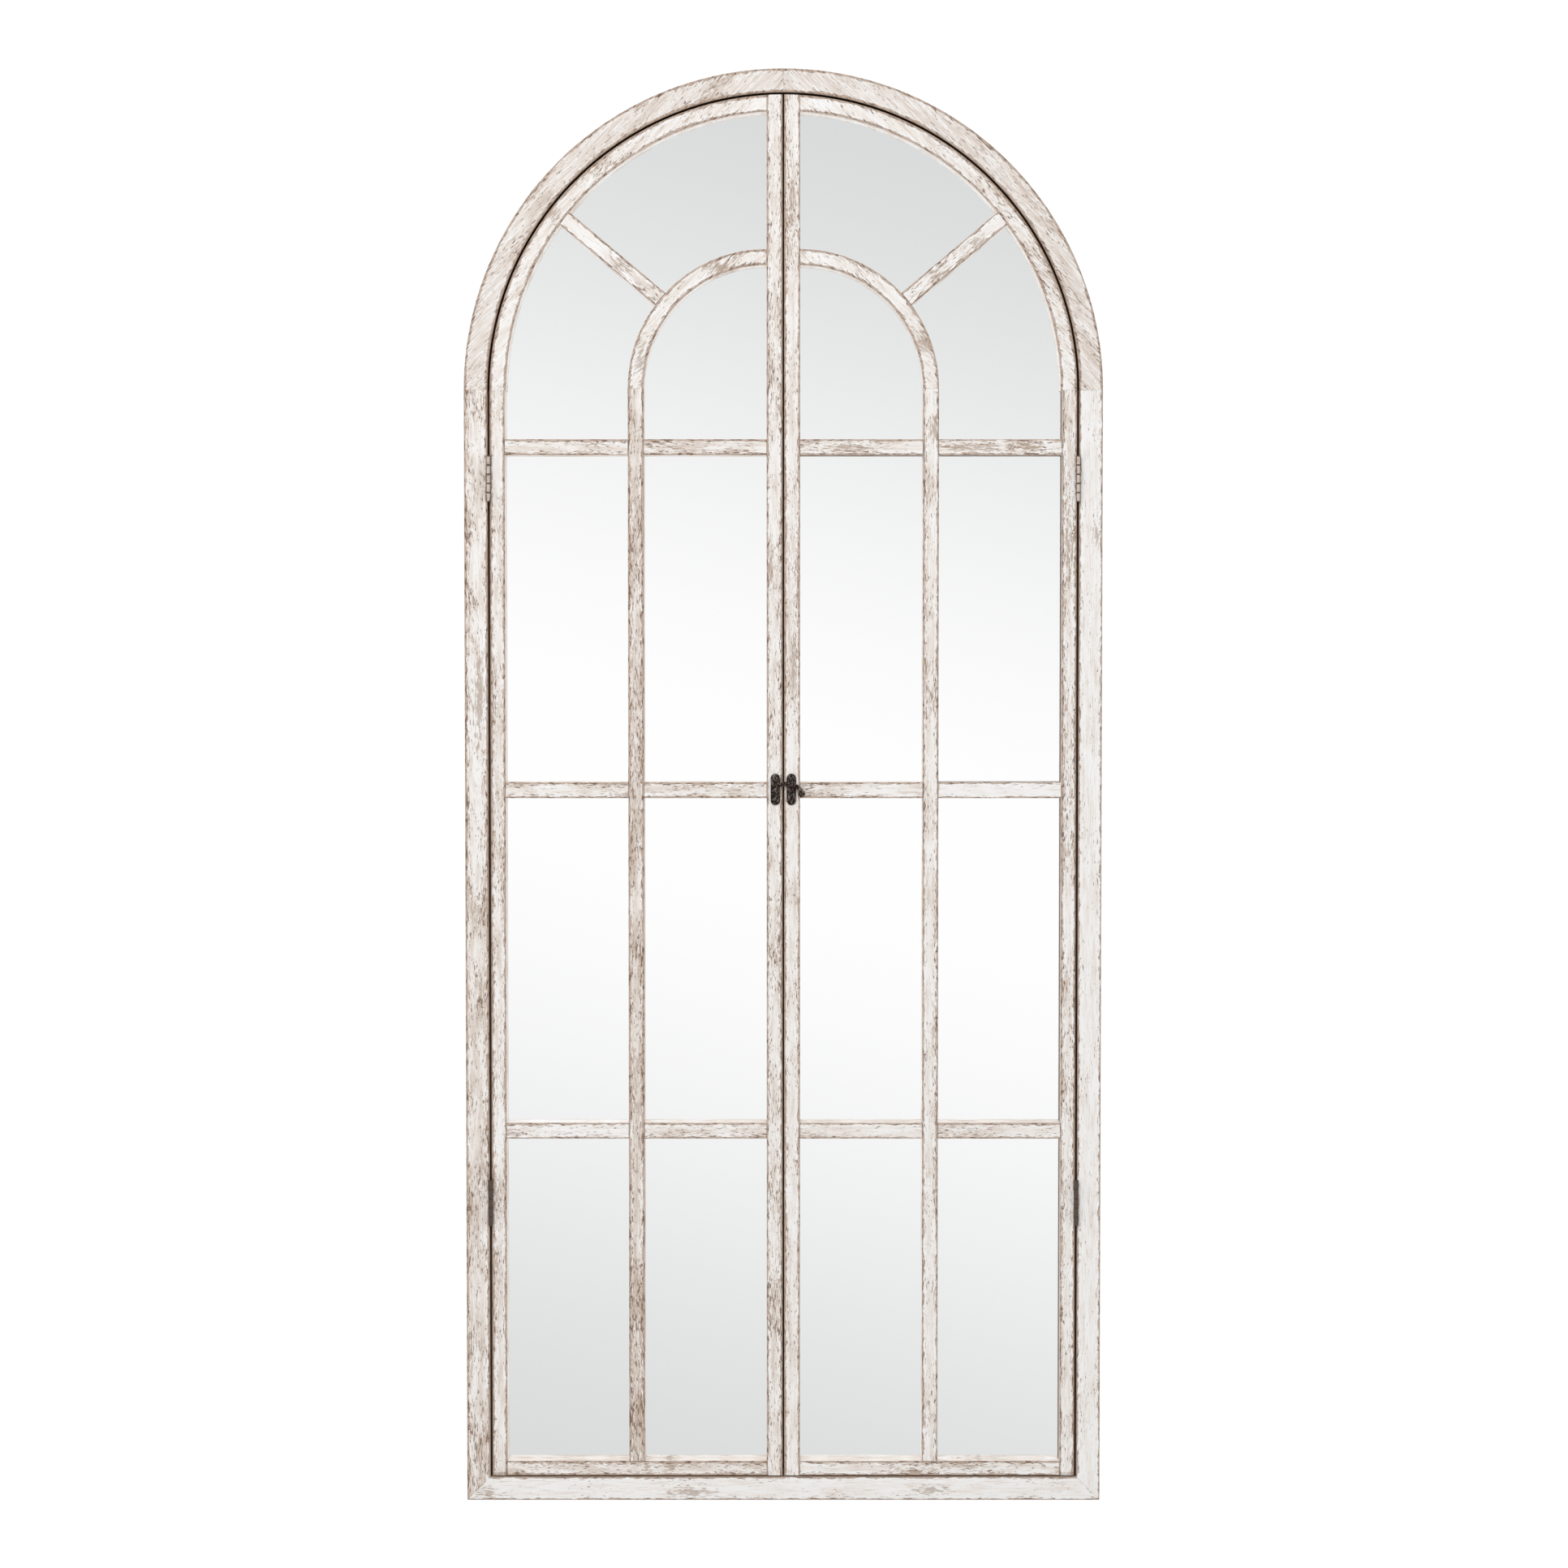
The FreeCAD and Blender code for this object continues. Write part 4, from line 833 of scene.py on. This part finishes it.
class MIRROR_OT_hinges(bpy.types.Operator):
    """Roll the knuckles of the four butt hinges: the upper two painted over, the lower
    two aged brown."""
    bl_idname = "mirror.hinges"
    bl_label = "Make the hinges"

    def execute(self, context):
        settings = context.scene.arched_mirror.hardware
        feet = {level: middle - 2.5 * KNUCKLE_PITCH_MM for level, middle in HINGE_LEVELS_MM.items()}
        painted = worn_metal("limewashed_hinge_steel", *(linear(tone) for tone in PAINTED_HINGE_TONES),
                             0.0, 0.6, 0.12, feet["upper"])
        aged = worn_metal("aged_hinge_steel", opaque(settings.hinge), linear(RUBBED_HINGE_TONE),
                          0.2, 0.55, 0.02, feet["lower"])
        for level, material, slot in (("upper", painted, "painted_hinge"),
                                      ("lower", aged, "aged_hinge")):
            for side, sign in (("left", -1), ("right", 1)):
                for part in ("frame_leaf", "door_leaf", "pin"):
                    give("%s_%s_hinge_%s" % (side, level, part), material)
                for part, places, body in (("frame", FRAME_KNUCKLES, "casing"),
                                           ("door", DOOR_KNUCKLES, side + "_door")):
                    barrels = []
                    for place in places:
                        low = feet[level] + place * KNUCKLE_PITCH_MM
                        barrels.append(knuckle("barrel_%d" % place, sign * HINGE_AXIS_MM[0],
                                               low + KNUCKLE_GAP_MM / 2,
                                               low + KNUCKLE_PITCH_MM - KNUCKLE_GAP_MM / 2))
                    rolled = joined("%s_%s_%s_knuckles" % (side, level, part), barrels)
                    finished(rolled, body, slot, material)
        for node in ("frame_hinge_screws", "left_door_hinge_screws", "right_door_hinge_screws"):
            give(node, aged)
        return {"FINISHED"}


# ---------------------------------------------------------------- latch
LATCH_X_MM = 10.0
LATCH_Z_MM = 900.0
LATCH_SCREWS_MM = (-14.4, 14.4)
PLATE_FACE_MM = -36.1
HOOK_FRONT_MM = -40.2
PEG_TIP_MM = -40.1
SCREW_TOP_MM = PLATE_FACE_MM - 0.58
SLOT_LENGTH_MM = 6.0

# the turned pieces of the latch: (radius, y) from the back forwards
SCREW_PROFILE_MM = (
    (1.2, -30.0), (1.2, PLATE_FACE_MM + 1.1), (2.3, PLATE_FACE_MM), (2.2, PLATE_FACE_MM - 0.25),
    (1.5, PLATE_FACE_MM - 0.5), (0.6, SCREW_TOP_MM))
RIVET_PROFILE_MM = (
    (2.0, -22.5), (2.0, PLATE_FACE_MM), (3.6, PLATE_FACE_MM), (3.6, PLATE_FACE_MM - 0.6),
    (3.3, PLATE_FACE_MM - 0.8), (2.0, PLATE_FACE_MM - 0.8), (2.0, HOOK_FRONT_MM - 0.3),
    (3.1, HOOK_FRONT_MM - 0.3), (3.0, HOOK_FRONT_MM - 0.75), (2.4, HOOK_FRONT_MM - 1.25),
    (1.4, HOOK_FRONT_MM - 1.5), (0.5, HOOK_FRONT_MM - 1.58))
PEG_PROFILE_MM = (
    (2.5, -22.5), (2.5, PLATE_FACE_MM), (3.7, PLATE_FACE_MM), (3.7, PLATE_FACE_MM - 0.5),
    (3.4, PLATE_FACE_MM - 0.8), (2.5, PLATE_FACE_MM - 0.8), (2.5, PEG_TIP_MM + 0.4),
    (2.2, PEG_TIP_MM + 0.1), (1.5, PEG_TIP_MM))


def slotted_screws(name, x_mm, first_degrees, turn_degrees):
    """The two screws of a latch plate, each with its slot where the screwdriver left it."""
    heads = []
    for number, level in enumerate(LATCH_SCREWS_MM):
        spot = (x_mm, LATCH_Z_MM + level)
        head = turned_rod("head", spot, SCREW_PROFILE_MM)
        cut_slot(head, spot, SCREW_TOP_MM, SLOT_LENGTH_MM, first_degrees + turn_degrees * number)
        heads.append(head)
    return joined(name, heads)


class MIRROR_OT_latch(bpy.types.Operator):
    """Make the hook latch in blackened iron: eased plates and hook, slotted screws, a
    domed rivet and a peg with a collar."""
    bl_idname = "mirror.latch"
    bl_label = "Make the latch"

    def execute(self, context):
        settings = context.scene.arched_mirror.hardware
        iron = worn_metal("blackened_iron", opaque(settings.iron), opaque(settings.scratch),
                          0.2, 0.55, 0.07, sheen=0.18, scratches=0.8)
        for side, sign in (("left", -1), ("right", 1)):
            body = side + "_door"
            plate = eased_copy(side + "_latch_plate", side + "_latch_plate_eased", 0.4)
            finished(plate, body, "dark_iron", iron, side + "_latch_plate")
            screws = slotted_screws(side + "_latch_screw_heads", sign * LATCH_X_MM, 35, 70 * sign)
            finished(screws, body, "dark_iron", iron, side + "_latch_screws")
        hook = eased_copy("latch_hook", "latch_hook_forged", 0.8)
        finished(hook, "hook", "dark_iron", iron, "latch_hook")
        rivet = turned_rod("latch_rivet_domed", (-LATCH_X_MM, LATCH_Z_MM), RIVET_PROFILE_MM)
        finished(rivet, "left_door", "dark_iron", iron, "latch_rivet")
        peg = turned_rod("latch_peg_turned", (LATCH_X_MM, LATCH_Z_MM), PEG_PROFILE_MM)
        finished(peg, "right_door", "dark_iron", iron, "latch_peg")
        return {"FINISHED"}


# ---------------------------------------------------------------- stage
# the bank of lights that the mirror sees: the direction across its middle line, which is
# tilted a little, how far from that line its white begins and ends to fall off, and to what
BANK_ACROSS = (0.2444, -0.0459, 0.9697)
BANK_FALL = (0.008, 0.212)
BANK_EDGE = "#D8DADA"
SEEN_STRENGTH = 1.02

PAPER = "#E9E9E8"
PAPER_SIZE_M = 40
PAPER_BELOW_MM = 0.5

# the soft lamp, above and to the left of the camera; y is from the casing's front
LAMP_AT_M = (-1.2, -3.2, 3.4)
LAMP_AIM_M = (0, 0, 0.9)
LAMP_SIZE_M = (2.4, 1.6)
CAMERA_ASIDE_MM = 0.8


def studio_world(settings):
    """Even studio light; the camera sees white, and the mirror sees the white bank of
    lights in front of it fall off to a cool grey above and below."""
    world = bpy.data.worlds.new("studio")
    bpy.context.scene.world = world
    world.use_nodes = True
    tree = world.node_tree
    tree.nodes.clear()
    path = add(tree, "ShaderNodeLightPath").outputs
    way = add(tree, "ShaderNodeTexCoord").outputs["Generated"]
    slope = add(tree, "ShaderNodeVectorMath", {0: way, 1: BANK_ACROSS},
                operation="DOT_PRODUCT").outputs["Value"]
    fallen = between(tree, calc(tree, "ABSOLUTE", slope), *BANK_FALL)
    bank = layer(tree, fallen, WHITE, linear(BANK_EDGE))
    seen = layer(tree, path["Is Glossy Ray"], WHITE, bank)
    shown = add(tree, "ShaderNodeBackground", {"Color": seen, "Strength": SEEN_STRENGTH})
    lit = add(tree, "ShaderNodeBackground", {"Color": WHITE, "Strength": settings.ambient})
    showing = calc(tree, "MAXIMUM", path["Is Camera Ray"],
                   calc(tree, "MAXIMUM", path["Is Glossy Ray"], path["Is Transmission Ray"]))
    both = add(tree, "ShaderNodeMixShader", {0: showing, 1: lit.outputs[0], 2: shown.outputs[0]})
    add(tree, "ShaderNodeOutputWorld", {"Surface": both.outputs[0]})


def floor_paper():
    """Pale paper floor: white to the camera apart from the shadow, and not there for
    the mirror, which sees the studio."""
    material, tree = blank_material("floor_paper")
    path = add(tree, "ShaderNodeLightPath").outputs
    paper = add(tree, "ShaderNodeBsdfDiffuse", {"Color": linear(PAPER)})
    white = add(tree, "ShaderNodeEmission", {"Color": WHITE, "Strength": 1.0})
    lifted = add(tree, "ShaderNodeMixShader", {0: 0.72, 1: paper.outputs[0], 2: white.outputs[0]})
    lift = add(tree, "ShaderNodeEmission", {"Strength": 0.15})
    bright = add(tree, "ShaderNodeAddShader", {0: lifted.outputs[0], 1: lift.outputs[0]})
    clear = add(tree, "ShaderNodeBsdfTransparent")
    shown = calc(tree, "MAXIMUM", path["Is Camera Ray"], path["Is Transmission Ray"])
    seen = add(tree, "ShaderNodeMixShader", {0: shown, 1: paper.outputs[0], 2: bright.outputs[0]})
    finish_with(tree, add(tree, "ShaderNodeMixShader", {
        0: path["Is Glossy Ray"], 1: seen.outputs[0], 2: clear.outputs[0]}))
    return material


class MIRROR_OT_stage(bpy.types.Operator):
    """Set the floor, the soft light and the camera of the photograph."""
    bl_idname = "mirror.stage"
    bl_label = "Set the stage"

    def execute(self, context):
        settings = context.scene.arched_mirror.studio
        studio_world(settings)
        bpy.ops.mesh.primitive_plane_add(size=PAPER_SIZE_M, location=(0, 0, -PAPER_BELOW_MM * MM))
        floor = context.object
        floor.name = "floor"
        floor.data.materials.append(floor_paper())
        front = CASING_DEPTH_MM[0] * MM
        x, y, z = LAMP_AT_M
        bpy.ops.object.light_add(type="AREA", location=(x, front + y, z))
        key = context.object
        key.name = "key_lamp"
        key.data.shape = "RECTANGLE"
        key.data.size, key.data.size_y = LAMP_SIZE_M
        key.data.energy = settings.key
        key.visible_glossy = False
        key.rotation_euler = (Vector(LAMP_AIM_M) - key.location).to_track_quat("-Z", "Y").to_euler()
        bpy.ops.object.camera_add(
            location=(CAMERA_ASIDE_MM * MM, front - settings.distance, settings.height),
            rotation=(math.pi / 2 - settings.tilt, 0, 0))
        camera = context.object
        camera.name = "camera"
        camera.data.sensor_width = 36
        camera.data.sensor_fit = "HORIZONTAL"
        camera.data.lens = settings.lens
        context.scene.camera = camera
        context.scene.view_settings.view_transform = "Standard"
        return {"FINISHED"}


# ---------------------------------------------------------------- panel and run
STEPS = (MIRROR_OT_timber, MIRROR_OT_glass_and_back, MIRROR_OT_hinges, MIRROR_OT_latch, MIRROR_OT_stage)


class MIRROR_PT_panel(bpy.types.Panel):
    """The steps and the settings of the arched window mirror."""
    bl_label = "Arched window mirror"
    bl_idname = "MIRROR_PT_panel"
    bl_space_type = "VIEW_3D"
    bl_region_type = "UI"
    bl_category = "Mirror"

    def draw(self, context):
        for step in STEPS:
            self.layout.operator(step.bl_idname)
        settings = context.scene.arched_mirror
        for part in (settings.whitewash, settings.mirror, settings.hardware, settings.studio):
            box = self.layout.box()
            for key in part.__annotations__:
                box.prop(part, key)


CLASSES = (WhitewashSettings, MirrorSettings, HardwareSettings, StudioSettings, MirrorSceneSettings,
           *STEPS, MIRROR_PT_panel)


def register():
    """Register the add-on's classes and its settings."""
    for cls in CLASSES:
        bpy.utils.register_class(cls)
    bpy.types.Scene.arched_mirror = PointerProperty(type=MirrorSceneSettings)


def unregister():
    """Take the add-on out again."""
    del bpy.types.Scene.arched_mirror
    for cls in reversed(CLASSES):
        bpy.utils.unregister_class(cls)


def main():
    """Run every step."""
    register()
    bpy.ops.object.select_all(action="DESELECT")
    bpy.ops.mirror.timber()
    bpy.ops.mirror.glass_and_back()
    bpy.ops.mirror.hinges()
    bpy.ops.mirror.latch()
    bpy.ops.mirror.stage()


if __name__ == "__main__":
    main()
